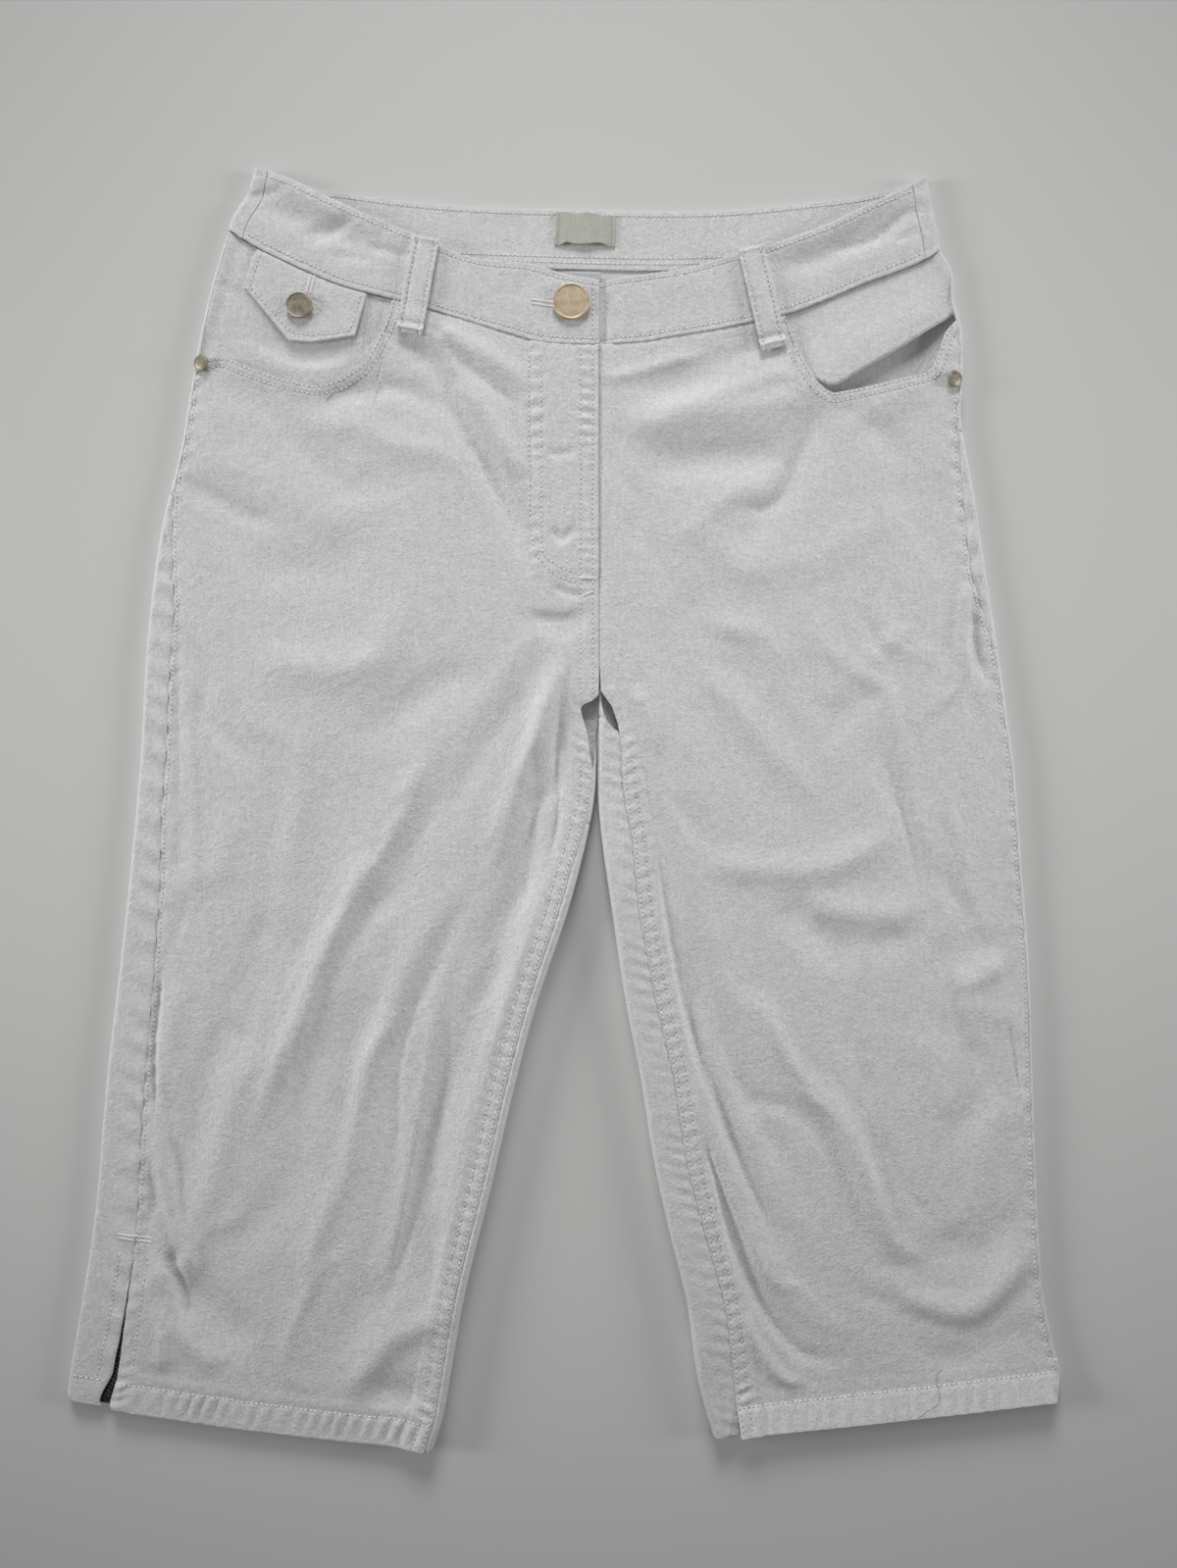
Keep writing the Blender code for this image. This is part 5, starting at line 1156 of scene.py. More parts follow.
def back_surface(leg):
    def surface(u, v):
        t = v
        seam, _, inseam = leg.insets(t)
        width = leg.width(t)
        turn = fork_share(leg.side, leg.inner.at(t * leg.length)[1])
        edge = width - np.where(turn == 0, SEAM_GAP / 2, 0)
        seed = 41 if leg.side == "right" else 45
        side_strip = seam - SEAM_GAP / 2
        inner_strip = width - inseam - SEAM_GAP / 2
        out_share, in_share = np.clip(1 - u, 0, 1), np.clip(u - 2, 0, 1)

        def side_height(distance):
            return leg.top(distance, t) + strip_sewing(leg, distance, side_strip, t, seed,
                                                       17.0, 0.85)

        def inner_height(distance):
            return (leg.top(edge - distance, t)
                    + strip_sewing(leg, distance, inner_strip, t, seed + 1, 9.0, 0.5))

        side_d, side_z = roll(side_height, side_strip, FOLD_RADIUS, out_share, t * 0 + 1)
        in_d, in_z = roll(inner_height, inner_strip, FOLD_RADIUS, in_share, turn)
        lifted = np.where(turn < 0.25, 2 * turn, np.minimum(turn, 0.5))
        floor_end = edge - np.where(turn == 0, CENTRE_RUN,
                                    FOLD_RADIUS * np.sin(math.pi * lifted))
        in_d = np.where(turn == 0, CENTRE_RUN * (1 - in_share), in_d)
        in_z = np.where(turn == 0, 0, in_z)
        middle = FOLD_RADIUS + (floor_end - FOLD_RADIUS) * np.clip(u - 1, 0, 1)
        inset = np.where(u < 1, side_d, np.where(u > 2, edge - in_d, middle))
        z = np.where(u < 1, side_z, np.where(u > 2, in_z, 0.0))
        front_x, front_y = leg.on_row(inset, t)
        back_x, back_y = leg.on_row(inset, t, back=True)
        on_floor = np.where(u < 1, 0, np.where(u <= 2, 1, smoothstep(0.7, 0, turn)))
        free = smoothstep(8, 30, inset) * smoothstep(8, 30, width - inset) * (u > 1) * (u < 2)
        hollow = 0.6 * np.clip(patchy(back_x, back_y * 0.5, 24.0, 81) * 1.5, 0, 1) * free
        return (front_x + (back_x - front_x) * on_floor,
                front_y + (back_y - front_y) * on_floor, z + hollow)
    return surface


for side, leg in LEGS.items():
    columns = spread([(0, 1), (0.5, 14), (1, 8), (2, 10), (2.5, 7), (3, 14)])
    fork = leg.inner.share_at_y(75)
    rows = spread([(0, 1), (fork, 90), (fork + 0.10, 60), (HEM_ROW, 190), (1, 14)])
    surface = back_surface(leg)
    back = cloth_sheet(f"back_panel_cloth_{side}", surface, columns, rows, CLOTH, (0, 0, -1),
                       wall_share=lambda u, v: np.where(v <= 0, 0.2, 1.0))
    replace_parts(back, f"back_panel_{side}")
    area = flat_area(surface, columns, rows[::3])
    print(back.name, "points:", len(back.data.vertices), "area, m2:", round(area, 3))

# %% [markdown]
# ## Pockets
# A facing fills each scooped pocket. The right one lies flat and carries the little flap
# of the coin pocket. The left one has slid down, so it bags out, rolls under and leaves a
# dark hollow over the pocket's edge.

# %% Right pocket facing
FACING_DROP = CLOTH + LAYER_GAP
FACING_UNDERLAP, FACING_MOUTH_DROP = 10.0, 1.2
FACING_LEAST = 0.045
FACING_LAST_COLUMN = 0.49
# small creases of the pocket cloth, drawn like those of the legs
POCKET_CREASES = {
    "under_flap_trough": (-0.9, 5, 4, [(-176, 270), (-160, 259), (-140, 256), (-118, 262)]),
    "under_flap_ridge": (0.8, 4, 4, [(-190, 268), (-172, 256), (-150, 249), (-126, 252)]),
    "side_pull": (-0.6, 3, 3, [(-199, 300), (-186, 292), (-180, 280)]),
}
pocket_creases = drawn(POCKET_CREASES)


def facing_drop(leg, inset, t, bottom):
    """How far a facing lies under the front: nothing at the side, over the pocket's corner."""
    start = leg.front_limits(t)[0]
    at_side = smoothstep(7, 0.5, inset - start) * smoothstep(0.012, 0.035, bottom - t)
    return FACING_DROP * (1 - 0.92 * at_side)


def facing_right_surface(column_stops):
    leg = LEGS["right"]
    starts = leg.scoop_start(column_stops)

    def surface(u, v):
        bottom = np.maximum(np.interp(u, column_stops, starts), FACING_LEAST)
        share, under = np.clip(v, 0, 1), np.clip(v - 1, 0, 1)
        t = (SEAM_SHARE + (bottom - SEAM_SHARE) * share
             + FACING_UNDERLAP / leg.length * under)
        inset = leg.front_inset(u, t)
        x, y = leg.on_row(inset, t)
        sag = FACING_MOUTH_DROP * smoothstep(290, 262, y) * smoothstep(5, 25, inset)
        fold = 0
        for row in pocket_creases:
            fold = fold + crease(x, y, *row, 3)
        fold = fold * smoothstep(1.0, 0.8, v)
        z = (leg.top(inset, t, rise=False) - facing_drop(leg, inset, t, bottom)
             - sag * (1 - under) + fold)
        return x, y, z
    return surface


def lay_facing(side, surface_over, columns, rows):
    surface = surface_over(columns)
    facing = cloth_sheet(f"pocket_facing_cloth_{side}", surface, columns, rows, CLOTH,
                         (0, 0, 1))
    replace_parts(facing, f"pocket_facing_{side}")
    flat_area(surface, columns, rows)


lay_facing("right", facing_right_surface,
           spread([(0, 1), (0.42, 76), (FACING_LAST_COLUMN, 12)]),
           spread([(0, 1), (1, 50), (2, 5)]))

# %% Left pocket facing
FACING_ROLL = [(112, 268), (122, 262), (130, 254), (138, 247), (146, 242), (154.4, 240.5),
               (169, 249), (192, 262), (211, 274.2), (220, 279.8), (226, 283.5)]
ROLL_RADIUS, ROLL_RISE, ROLL_TUCK = 1.7, 3.0, 6.0


def facing_left_surface(column_stops):
    leg = LEGS["left"]
    roll_line = Line(FACING_ROLL)
    ends = leg.mouth_end(column_stops, roll_line, FACING_ROLL[0][0]) * leg.length
    first = SEAM_SHARE * leg.length

    def surface(u, v):
        end = np.interp(u, column_stops, ends)
        seam_x = leg.on_row(leg.front_inset(u, u * 0), u * 0)[0]
        bulge = ROLL_RISE * smoothstep(128, 142, seam_x) * smoothstep(0, 0.1, u)
        turn_at = end - ROLL_RADIUS
        tuck = np.minimum(ROLL_TUCK, turn_at - first - 1)
        angle = math.pi * np.clip(v - 1, 0, 1)
        distance = np.where(v <= 1, first + (turn_at - first) * np.clip(v, 0, 1),
                            turn_at + ROLL_RADIUS * np.sin(angle)
                            - tuck * np.clip(v - 2, 0, 1))
        drop = np.where(v <= 1, 0, ROLL_RADIUS * (np.cos(angle) - 1))
        t = distance / leg.length
        inset = leg.front_inset(u, t) + SEAM_GAP * 2 * (1 - u)
        x, y = leg.on_row(inset, t)
        lift = bulge * smoothstep(4, end - 5, distance)
        lower = facing_drop(leg, inset, t, end / leg.length)
        return x, y, leg.top(inset, t, rise=False) - lower + lift + drop
    return surface


lay_facing("left", facing_left_surface,
           spread([(0, 1), (0.44, 74), (FACING_LAST_COLUMN, 10)]),
           spread([(0, 1), (1, 48), (2, 10), (3, 5)]))

# %% Coin pocket flap
FLAP_WALL, FLAP_DEPTH = 1.5, 26.0
FLAP_LOWER = [(-182, 296.6), (-169, 281), (-156.4, 265.6), (-143.5, 264.7), (-119, 268.6)]
FLAP_UPPER_X = (-174.3, -112.0)
waist_line = Line(WAIST_SEAM)
flap_edge = Line(FLAP_LOWER, smooth=False)


def flap_surface(u, v):
    top_x = FLAP_UPPER_X[0] + (FLAP_UPPER_X[1] - FLAP_UPPER_X[0]) * u
    top_y = waist_line.y_at_x(top_x) - SEAM_GAP * 2
    low_x, low_y = flap_edge.at(u * flap_edge.length)
    x, y = top_x + (low_x - top_x) * v, top_y + (low_y - top_y) * v
    z = body_height(x, y, fine=False) - FACING_DROP + LAYER_GAP + FLAP_WALL
    width = np.abs(FLAP_UPPER_X[1] - FLAP_UPPER_X[0])
    edge = np.minimum(np.minimum(u, 1 - u) * width, (1 - v) * FLAP_DEPTH)
    pulls = 0.22 * gathers(u * width + v * 9, 7.0, 51) * bell(edge - 2.8, 2.6)
    return x, y, z + pulls - 0.25 * bell(edge - 2.8, 0.9) - 0.5 * bell(v * 30, 1.5)


columns, rows = evenly(56, 34)
flap = cloth_sheet("coin_pocket_flap_cloth", flap_surface, columns, rows, FLAP_WALL,
                   (0, 0, 1), soften=0.5)
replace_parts(flap, "coin_pocket_flap")
flat_area(flap_surface, columns, rows)
print("pocket cloths:", [name for name in pieces if "pocket" in name])

# %% [markdown]
# ## Waistband
# The band is two layers with a stiff one between. Its back piece runs on round both side
# folds, where it meets the two front pieces, and the left end laps under the right one
# behind the button.

# %% Form of the waistband
BAND_TOP = {
    "right": Line([(-176.7, 364.7), (-157, 358), (-139, 349.3), (-112, 337), (-87, 327),
                   (-53.3, 313), (-19.7, 309.5), (-3, 304.5), (19.7, 300)]),
    "left": Line([(20.3, 299.6), (47.5, 303.4), (70, 307), (98, 315), (112.4, 318),
                  (148.3, 330.8), (174, 343), (196.4, 353.5), (206.5, 360)]),
    "back": Line([(-176.7, 364.7), (-150, 354.5), (-125.6, 351.5), (-87, 346.5),
                  (-53, 343.7), (-8.5, 342), (81, 341), (148, 347), (180, 352), (206.5, 360)]),
}
BAND_SIDE = {"right": [(-191.7, 329.1), (-189.3, 336.6), (-184.5, 344.2), (-181, 350),
                       (-178.4, 357), (-176.7, 364.7)],
             "left": [(214.6, 317.4), (212.7, 329.7), (210, 341), (208.2, 351.5),
                      (206.5, 360)]}
band_sides = {side: Line(points) for side, points in BAND_SIDE.items()}
back_waist_line = Line(BACK_WAIST_SEAM)
band_length = {side: abs(CENTRE_X - points[0][0]) for side, points in BAND_SIDE.items()}
BAND_DEPTH, BAND_STITCH = 36.0, 3.0
BAND_SIDE_SEAM, BAND_SEAM_OFFSET = 9.0, 0.12
UNDERLAP, UNDERLAP_DROP, UNDERLAP_STEP = 32.0, 2.6, (9.0, 1.0)
BAND_FOLDS = {
    "right_band_trough": (-1.6, 6, 6, [(-182, 346), (-154, 336), (-129, 326), (-104, 314)]),
    "right_band_lip": (1.4, 6, 6, [(-172, 360), (-139, 345), (-100, 328)]),
    "left_band_trough_top": (-1.6, 6, 6, [(117, 306), (144, 312), (162, 320), (184, 328),
                                          (205, 341)]),
    "left_band_lip": (1.6, 6, 6, [(108, 315), (148, 328), (174, 341), (202, 357)]),
}
BAND_CREASES = {
    "right_dark_patch": (-1.3, 4, 5, [(-150, 325), (-116, 335)]),
    "right_corner_patch": (-1.2, 3, 4, [(-183, 346), (-157, 352.5)]),
    "right_low_patch": (-0.9, 3, 3, [(-132, 314.5), (-109, 312)]),
    "right_cross_pull": (-0.9, 3, 3, [(-122, 334), (-146, 319)]),
    "right_mid_pull": (-1.0, 3, 3, [(-112, 319.5), (-87, 313.5)]),
    "button_pull": (-0.7, 2.5, 2.5, [(-20, 303), (-29, 288)]),
    "left_side_pull": (-1.0, 3, 3, [(148, 317), (174, 322), (193, 337), (208, 342)]),
    "left_side_pull_low": (-0.8, 3, 3, [(187, 322), (203, 328)]),
}
band_folds, band_creases = drawn(BAND_FOLDS), drawn(BAND_CREASES)


def side_at(side, v):
    line = band_sides[side]
    return line.at(v * line.length)


def band_front_xy(side, inset, v):
    """A point of the front band, inset from its side fold, v of the way up."""
    outer_x, outer_y = side_at(side, v)
    (low0_x, low0_y), (top0_x, top0_y) = BAND_SIDE[side][0], BAND_SIDE[side][-1]
    share = inset / band_length[side]
    low_x = low0_x + (CENTRE_X - low0_x) * share
    high_x = top0_x + (CENTRE_X - top0_x) * share
    other = {"left": "right", "right": "left"}[side]
    past = (low_x - CENTRE_X) * (1 if side == "left" else -1) < 0
    top_y = np.where(past, BAND_TOP[other].y_at_x(high_x), BAND_TOP[side].y_at_x(high_x))
    gap = BAND_SEAM_OFFSET * (2 - smoothstep(5, 30, inset))
    low_y = waist_line.y_at_x(low_x) + gap
    bulge = np.maximum(1 - share, 0)
    bulge_x = outer_x - (low0_x * (1 - v) + top0_x * v)
    bulge_y = outer_y - (low0_y * (1 - v) + top0_y * v)
    return (low_x + (high_x - low_x) * v + bulge_x * bulge,
            low_y + (top_y - low_y) * v + bulge_y * bulge)


def band_top(x, y, inset, v):
    height = BAND_HEIGHT + x * 0
    for seed, row in enumerate(band_folds):
        height = height + crease(x, y, *row, seed)
    for seed, row in enumerate(band_creases):
        height = height + crease(x, y, *row, seed, crisp=0.3)
    below, above = v * BAND_DEPTH - BAND_STITCH, (1 - v) * BAND_DEPTH - BAND_STITCH
    height = height + 0.22 * patchy(x, y, 19.0, 61) + 0.10 * patchy(x, y, 8.0, 62)
    height = height + stitched(below, inset, 7.0, 0.24, 3.4, 0.5, 63)
    height = height + stitched(above, inset, 8.0, 0.26, 3.4, -0.5, 64)
    return rolled(height, inset, BAND_FOLD_RADIUS)


# %% Front waistbands
for side in LEGS:
    full = band_length[side]
    start = BAND_SIDE_SEAM + SEAM_GAP / 2
    end = full - SEAM_GAP / 2 if side == "right" else full + UNDERLAP
    step_start, step_end = (full - distance for distance in UNDERLAP_STEP)

    def surface(u, v):
        inset = start + (end - start) * u
        x, y = band_front_xy(side, inset, v)
        z = band_top(x, y, inset, v)
        if side == "left":
            z = z - UNDERLAP_DROP * smoothstep(step_start, step_end, inset)
            y = y - np.where(inset > full, v, 0)
        z = z - 0.35 * bell(inset - start, 1.0)
        return x, y, z

    columns, rows = evenly(150, 34)
    band = cloth_sheet(f"waistband_front_cloth_{side}", surface, columns, rows, BAND_WALL,
                       (0, 0, 1), soften=0.4)
    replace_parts(band, f"waistband_front_{side}")
    area = flat_area(surface, columns, rows)
    print(band.name, "points:", len(band.data.vertices), "area, m2:", round(area, 4))

# %% Back waistband


def back_band_xy(share, v):
    (right_x, _), (left_x, _) = side_at("right", v), side_at("left", v)
    ends = [(BAND_SIDE["right"][k][0], BAND_SIDE["left"][k][0]) for k in (0, -1)]
    low_x, high_x = (a * (1 - share) + b * share for a, b in ends)
    y = ((back_waist_line.y_at_x(low_x) + BAND_SEAM_OFFSET * 2) * (1 - v)
         + BAND_TOP["back"].y_at_x(high_x) * v)
    return right_x + (left_x - right_x) * share, y


def back_band_surface(u, v):
    """u runs from the right join round its fold, along the back, to the left join."""
    strip = BAND_SIDE_SEAM - SEAM_GAP / 2 + u * 0
    points = {}
    for side, share in (("right", np.clip(1 - u, 0, 1)), ("left", np.clip(u - 2, 0, 1))):
        def height(distance):
            x, y = band_front_xy(side, distance, v)
            return band_top(x, y, distance, v)
        distance, z = roll(height, strip, BAND_FOLD_RADIUS, share, u * 0 + 1)
        points[side] = (*band_front_xy(side, distance, v), z)
    (right_x, _), (left_x, _) = side_at("right", v), side_at("left", v)
    rim = BAND_FOLD_RADIUS / (left_x - right_x)
    share = rim + (1 - 2 * rim) * np.clip(u - 1, 0, 1)
    points["middle"] = (*back_band_xy(share, v), u * 0)
    return tuple(np.where(u < 1, points["right"][k],
                          np.where(u > 2, points["left"][k], points["middle"][k]))
                 for k in range(3))


columns = spread([(0, 1), (0.5, 10), (1, 8), (2, 190), (2.5, 8), (3, 10)])
rows = spread([(0, 1), (1, 34)])
back_band = cloth_sheet("waistband_back_cloth", back_band_surface, columns, rows, BAND_WALL,
                        (0, 0, -1), soften=0.7)
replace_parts(back_band, "waistband_back")
flat_area(back_band_surface, columns, rows)

# %% Belt loops
LOOP_WIDTH, LOOP_LENGTH, LOOP_WALL, LOOP_ARCH = 15.0, 58.0, 1.6, 1.2
LOOP_STITCH, LOOP_FOOT = 2.2, 0.945     # in from its sides; share of its length
LOOPS = {"right": [(-77.7, 323.4), (-87.5, 268.3)], "left": [(105.5, 317.6), (119, 260.5)]}


def outer_surface(x, y):
    """Highest cloth at points of the front, round the waist seam."""
    away = y - waist_line.y_at_x(x)
    body = body_height(x, y, fine=False)
    for side, (rise, flank) in SCOOP_RISE.items():
        body = body + crease(x, y, rise, flank, flank, LEGS[side].scoop)
    band = band_top(x, y, 100 + x * 0, 0.5 + x * 0)
    return np.where(away > 4, band, np.where(away < -4, body, np.maximum(band, body)))


def loop_surface(side):
    top, foot = (np.array(end) for end in LOOPS[side])
    run = (foot - top) / np.linalg.norm(foot - top)
    across = np.array([-run[1], run[0]]) * LOOP_WIDTH / 2
    stops = np.linspace(0, 1, 30)
    heights = []
    for v in stops:
        centre = top + (foot - top) * v
        near = np.array([centre + across * a + run * b for a in (-1, 0, 1)
                         for b in (-4, 0, 4)])
        heights.append(outer_surface(near[:, 0], near[:, 1]).max())

    def surface(u, v):
        x = top[0] + (foot[0] - top[0]) * v + across[0] * (2 * u - 1)
        y = top[1] + (foot[1] - top[1]) * v + across[1] * (2 * u - 1)
        z = np.interp(v, stops, heights) + LAYER_GAP + LOOP_ARCH * np.sin(math.pi * v)
        edge = np.minimum(u, 1 - u) * LOOP_WIDTH
        ridges = 0.30 * bell(edge - LOOP_WIDTH / 2, 3.0) + 0.45 * bell(edge - 1.0, 0.9)
        folds_of_ends = (0.5 * bell((v - 0.03) * LOOP_LENGTH, 1.2)
                         + 0.9 * bell((v - LOOP_FOOT) * LOOP_LENGTH, 2.0))
        pulls = 0.16 * gathers(v * LOOP_LENGTH, 6.0, 71) * bell(edge - LOOP_STITCH, 2)
        return (x, y, z + LOOP_WALL + ridges + folds_of_ends + pulls
                - 0.45 * bell(edge - 2.5, 0.8) - 0.5 * bell((v - 0.89) * LOOP_LENGTH, 1.2))
    return surface


for side in LEGS:
    columns, rows = evenly(30, 76)
    surface = loop_surface(side)
    loop = cloth_sheet(f"belt_loop_cloth_{side}", surface, columns, rows, LOOP_WALL, (0, 0, 1),
                       soften=0.5)
    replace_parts(loop, f"belt_loop_{side}")
print("belt loops and bands:", [name for name in pieces if "loop" in name or "band" in name])

# %% [markdown]
# ## Sewing thread
# A row of topstitching is one white stitch after another, each about two millimetres long
# with its ends pulled into the cloth. One stitch is shaped once and set down along every
# row. Rays cast down on the finished sheets tell how high and how steep the cloth is there.

# %% Where the cloth is
RAY_START = 0.05


def top_of(*names):
    """A function that gives the highest point and normal of these pieces at x, y in mm."""
    graph = bpy.context.evaluated_depsgraph_get()
    trees = [BVHTree.FromObject(pieces[name], graph) for name in names]

    def touch(x, y):
        start = Vector((x * MM, y * MM, RAY_START))
        hits = [tree.ray_cast(start, Vector((0, 0, -1)))[:2] for tree in trees]
        hits = [hit for hit in hits if hit[0] is not None]
        return max(hits, key=lambda hit: hit[0].z) if hits else None
    return touch


# %% One stitch
# the third size is the length of a speck of painted shade in each needle hole
STITCH, STITCH_PITCH, HOLE_SHADE_LENGTH = 2.1, 2.8, 0.9
STITCH_WIDTH, STITCH_RISE = 0.78, 0.46
MOST_STRETCH = 1.6                  # a stitch longer than this many times its flat length
                                    # would hang over a step between two pieces


def stitch_shape(width, rise):
    """A small rounded stitch of length 1 along X, as a mesh."""
    shape = bmesh.new()
    bmesh.ops.create_uvsphere(shape, u_segments=6, v_segments=4, radius=1)
    bmesh.ops.rotate(shape, verts=shape.verts, cent=(0, 0, 0),
                     matrix=Matrix.Rotation(math.pi / 2, 3, "Y"))
    bmesh.ops.scale(shape, verts=shape.verts, vec=(0.5, width * MM / 2, rise * MM))
    return made_mesh("one_stitch", shape)


def sew(name, touch, stitches, finish, slot="white_twill", width=STITCH_WIDTH,
        rise=STITCH_RISE):
    """Set stitches, each (x0, y0, x1, y1) in mm, down on the cloth as one piece."""
    shape = stitch_shape(width, rise)
    joined = bmesh.new()
    for x0, y0, x1, y1 in stitches:
        start, end = touch(x0, y0), touch(x1, y1)
        if start is None or end is None:
            continue
        along = end[0] - start[0]
        if along.length > MOST_STRETCH * math.hypot(x1 - x0, y1 - y0) * MM:
            continue
        up = start[1] + end[1]
        side = up.cross(along).normalized()
        up = along.cross(side).normalized()
        turn = Matrix((along, side, up)).transposed().to_4x4()
        placed = shape.copy()
        placed.transform(Matrix.Translation((start[0] + end[0]) / 2) @ turn)
        joined.from_mesh(placed)
        bpy.data.meshes.remove(placed)
    bpy.data.meshes.remove(shape)
    return finish_piece(name, made_mesh(name, joined), finish, slot)


def along_row(line, pitch=STITCH_PITCH, length=STITCH, slant=0.0, start=0.5):
    """Stitches one after another along a line; slant turns each one a little."""
    count = max(int(line.length / pitch), 1)
    middles = (np.arange(count) + start) * line.length / count
    x0, y0 = line.at(middles - length / 2)
    x1, y1 = line.at(middles + length / 2)
    dx, dy = -(y1 - y0) * slant, (x1 - x0) * slant
    return list(zip(x0 - dx, y0 - dy, x1 + dx, y1 + dy))


def sew_rows(name, touch, rows, extra=()):
    """Topstitching along rows, each (line, slant), and painted shade in the needle holes."""
    stitches = [stitch for line, slant in rows for stitch in along_row(line, slant=slant)]
    # each needle hole gets a dark speck of painted shade between two stitches
    hole_shade_specks = [hole for line, slant in rows
             for hole in along_row(line, length=HOLE_SHADE_LENGTH, slant=slant, start=1.0)]
    sew(f"{name}_holes", touch, hole_shade_specks, painted_hole_shade, width=0.85, rise=0.16)
    print(name, "stitches:", len(stitches))
    return sew(f"{name}_stitches", touch, stitches + list(extra), thread)


SATIN_PITCH = 0.55


def satin(start, end, width):
    """Dense stitches side by side across a bar from start to end."""
    start, end = np.array(start, dtype=float), np.array(end, dtype=float)
    run = (end - start) / np.linalg.norm(end - start)
    across = np.array([-run[1], run[0]]) * width / 2
    count = max(int(np.linalg.norm(end - start) / SATIN_PITCH), 2)
    spots = [start + (end - start) * (k + 0.5) / count for k in range(count)]
    return [(*(spot - across), *(spot + across)) for spot in spots]


def on_leg(leg, inset_at, first, last):
    """A line down a leg, from share first to share last of its rows."""
    t = np.linspace(first, last, 90)
    return through(leg.on_row(inset_at(t), t))


def over_leg(leg, insets, t):
    """A line across a leg on row t."""
    return through(leg.on_row(insets, insets * 0 + t))


def beside(line, distance):
    """The line moved sideways, plus to its left."""
    run = np.gradient(line.points, axis=0)
    run /= np.linalg.norm(run, axis=1)[:, None]
    return Line(line.points + distance * np.stack([-run[:, 1], run[:, 0]], -1), smooth=False)


print("stitches to a metre of row:", round(1000 / STITCH_PITCH))

# %% Rows on the front panels
SIDE_ROW_START, INSEAM_ROW_END, INSEAM_ROW_TOP_Y = 0.125, 0.995, 24
for side, leg in LEGS.items():
    hem_share = 1 - HEM_STITCH / leg.length
    side_end = SLIT_TOP_SHARE if side == "right" else hem_share
    fork = leg.inner.share_at_y(INSEAM_ROW_TOP_Y)
    lines = [on_leg(leg, lambda t: leg.front_limits(t)[0] + SIDE_STITCH, SIDE_ROW_START,
                    side_end)]
    for away in (INSEAM_STITCH, FELL_STITCH):
        lines.append(on_leg(leg, lambda t: leg.front_limits(t)[1] - away, fork,
                            INSEAM_ROW_END))
    ends = [float(limit[0]) for limit in leg.front_limits(np.array([hem_share]))]
    lines.append(over_leg(leg, np.linspace(ends[0] + 1, ends[1] - 1, 90), hem_share))
    for away in SCOOP_STITCHES:
        lines.append(beside(leg.scoop, -away))
    if side == "right":
        lines += fly_rows
        lines += [Line([(CENTRE_X - column, 260), (CENTRE_X - column, 62)], smooth=False)
                  for column in FLY_COLUMNS]
        lines.append(on_leg(leg, lambda t: leg.front_limits(t)[0] + SLIT_STITCH,
                            SLIT_TOP_SHARE, hem_share))
    sew_rows(f"front_{side}", top_of(f"front_panel_cloth_{side}"),
             [(line, 0) for line in lines])

# %% Rows on the back panel beside the slit
leg = LEGS["right"]
hem_share = 1 - HEM_STITCH / leg.length
strip_end = float(leg.insets(np.array([hem_share]))[0][0])
strip_rows = [on_leg(leg, lambda t: leg.insets(t)[0] - SLIT_STITCH, SLIT_TOP_SHARE, hem_share),
              over_leg(leg, np.linspace(2.5, strip_end - 1.5, 20), hem_share)]
sew_rows("back_right", top_of("back_panel_cloth_right"), [(line, 0) for line in strip_rows])

# %% Rows on the waistband, loops and flap
BAND_ROW = BAND_STITCH / BAND_DEPTH


def band_line(side, v):
    inset = np.linspace(BAND_SIDE_SEAM + 1, band_length[side] - 1, 120)
    return through(band_front_xy(side, inset, v + inset * 0))


rows = [(band_line(side, v), slant) for side in LEGS
        for v, slant in ((BAND_ROW, 0.25), (1 - BAND_ROW, 0.0))]
v = np.linspace(0.12, 0.9, 30)
END_STITCH = 3.9
rows.append((through(band_front_xy("right", band_length["right"] - END_STITCH + v * 0, v)), 0))
sew_rows("waistband", top_of(*[f"waistband_front_cloth_{side}" for side in LEGS]), rows)
share = np.linspace(0.02, 0.98, 200)
inner_rows = [through(back_band_xy(share, v + share * 0)) for v in (0.10, 0.20, 0.93)]
sew_rows("back_band", top_of("waistband_back_cloth"), [(line, 0) for line in inner_rows])

# %% Loops, flap, bar tacks and buttonholes
LOOP_ROW = LOOP_STITCH / LOOP_WIDTH


def on_surface(surface, points):
    """A line through (u, v) points of a surface."""
    line = Line(points, smooth=False)
    u, v = line.at(np.linspace(0, line.length, 40))
    return through(surface(u, v)[:2])


for side in LEGS:
    surface = loop_surface(side)
    rows = [(on_surface(surface, [(u, 0.03), (u, 0.92)]), 0) for u in (LOOP_ROW, 1 - LOOP_ROW)]
    foot = [surface(np.array([u]), np.array([LOOP_FOOT]))[:2] for u in (0.04, 0.96)]
    sew_rows(f"belt_loop_{side}", top_of(f"belt_loop_cloth_{side}"), rows,
             satin(*[(x[0], y[0]) for x, y in foot], 2.2))

flap_row = on_surface(flap_surface, [(0.045, 0.06), (0.045, 0.89), (0.955, 0.89),
                                     (0.955, 0.06)])
flap_hole = (satin((-143.8, 303.5), (-146.4, 293.0), 1.8)
             + satin((-141.4, 303), (-144.0, 292.5), 1.8))
sew_rows("flap", top_of("coin_pocket_flap_cloth"), [(flap_row, 0)], flap_hole)

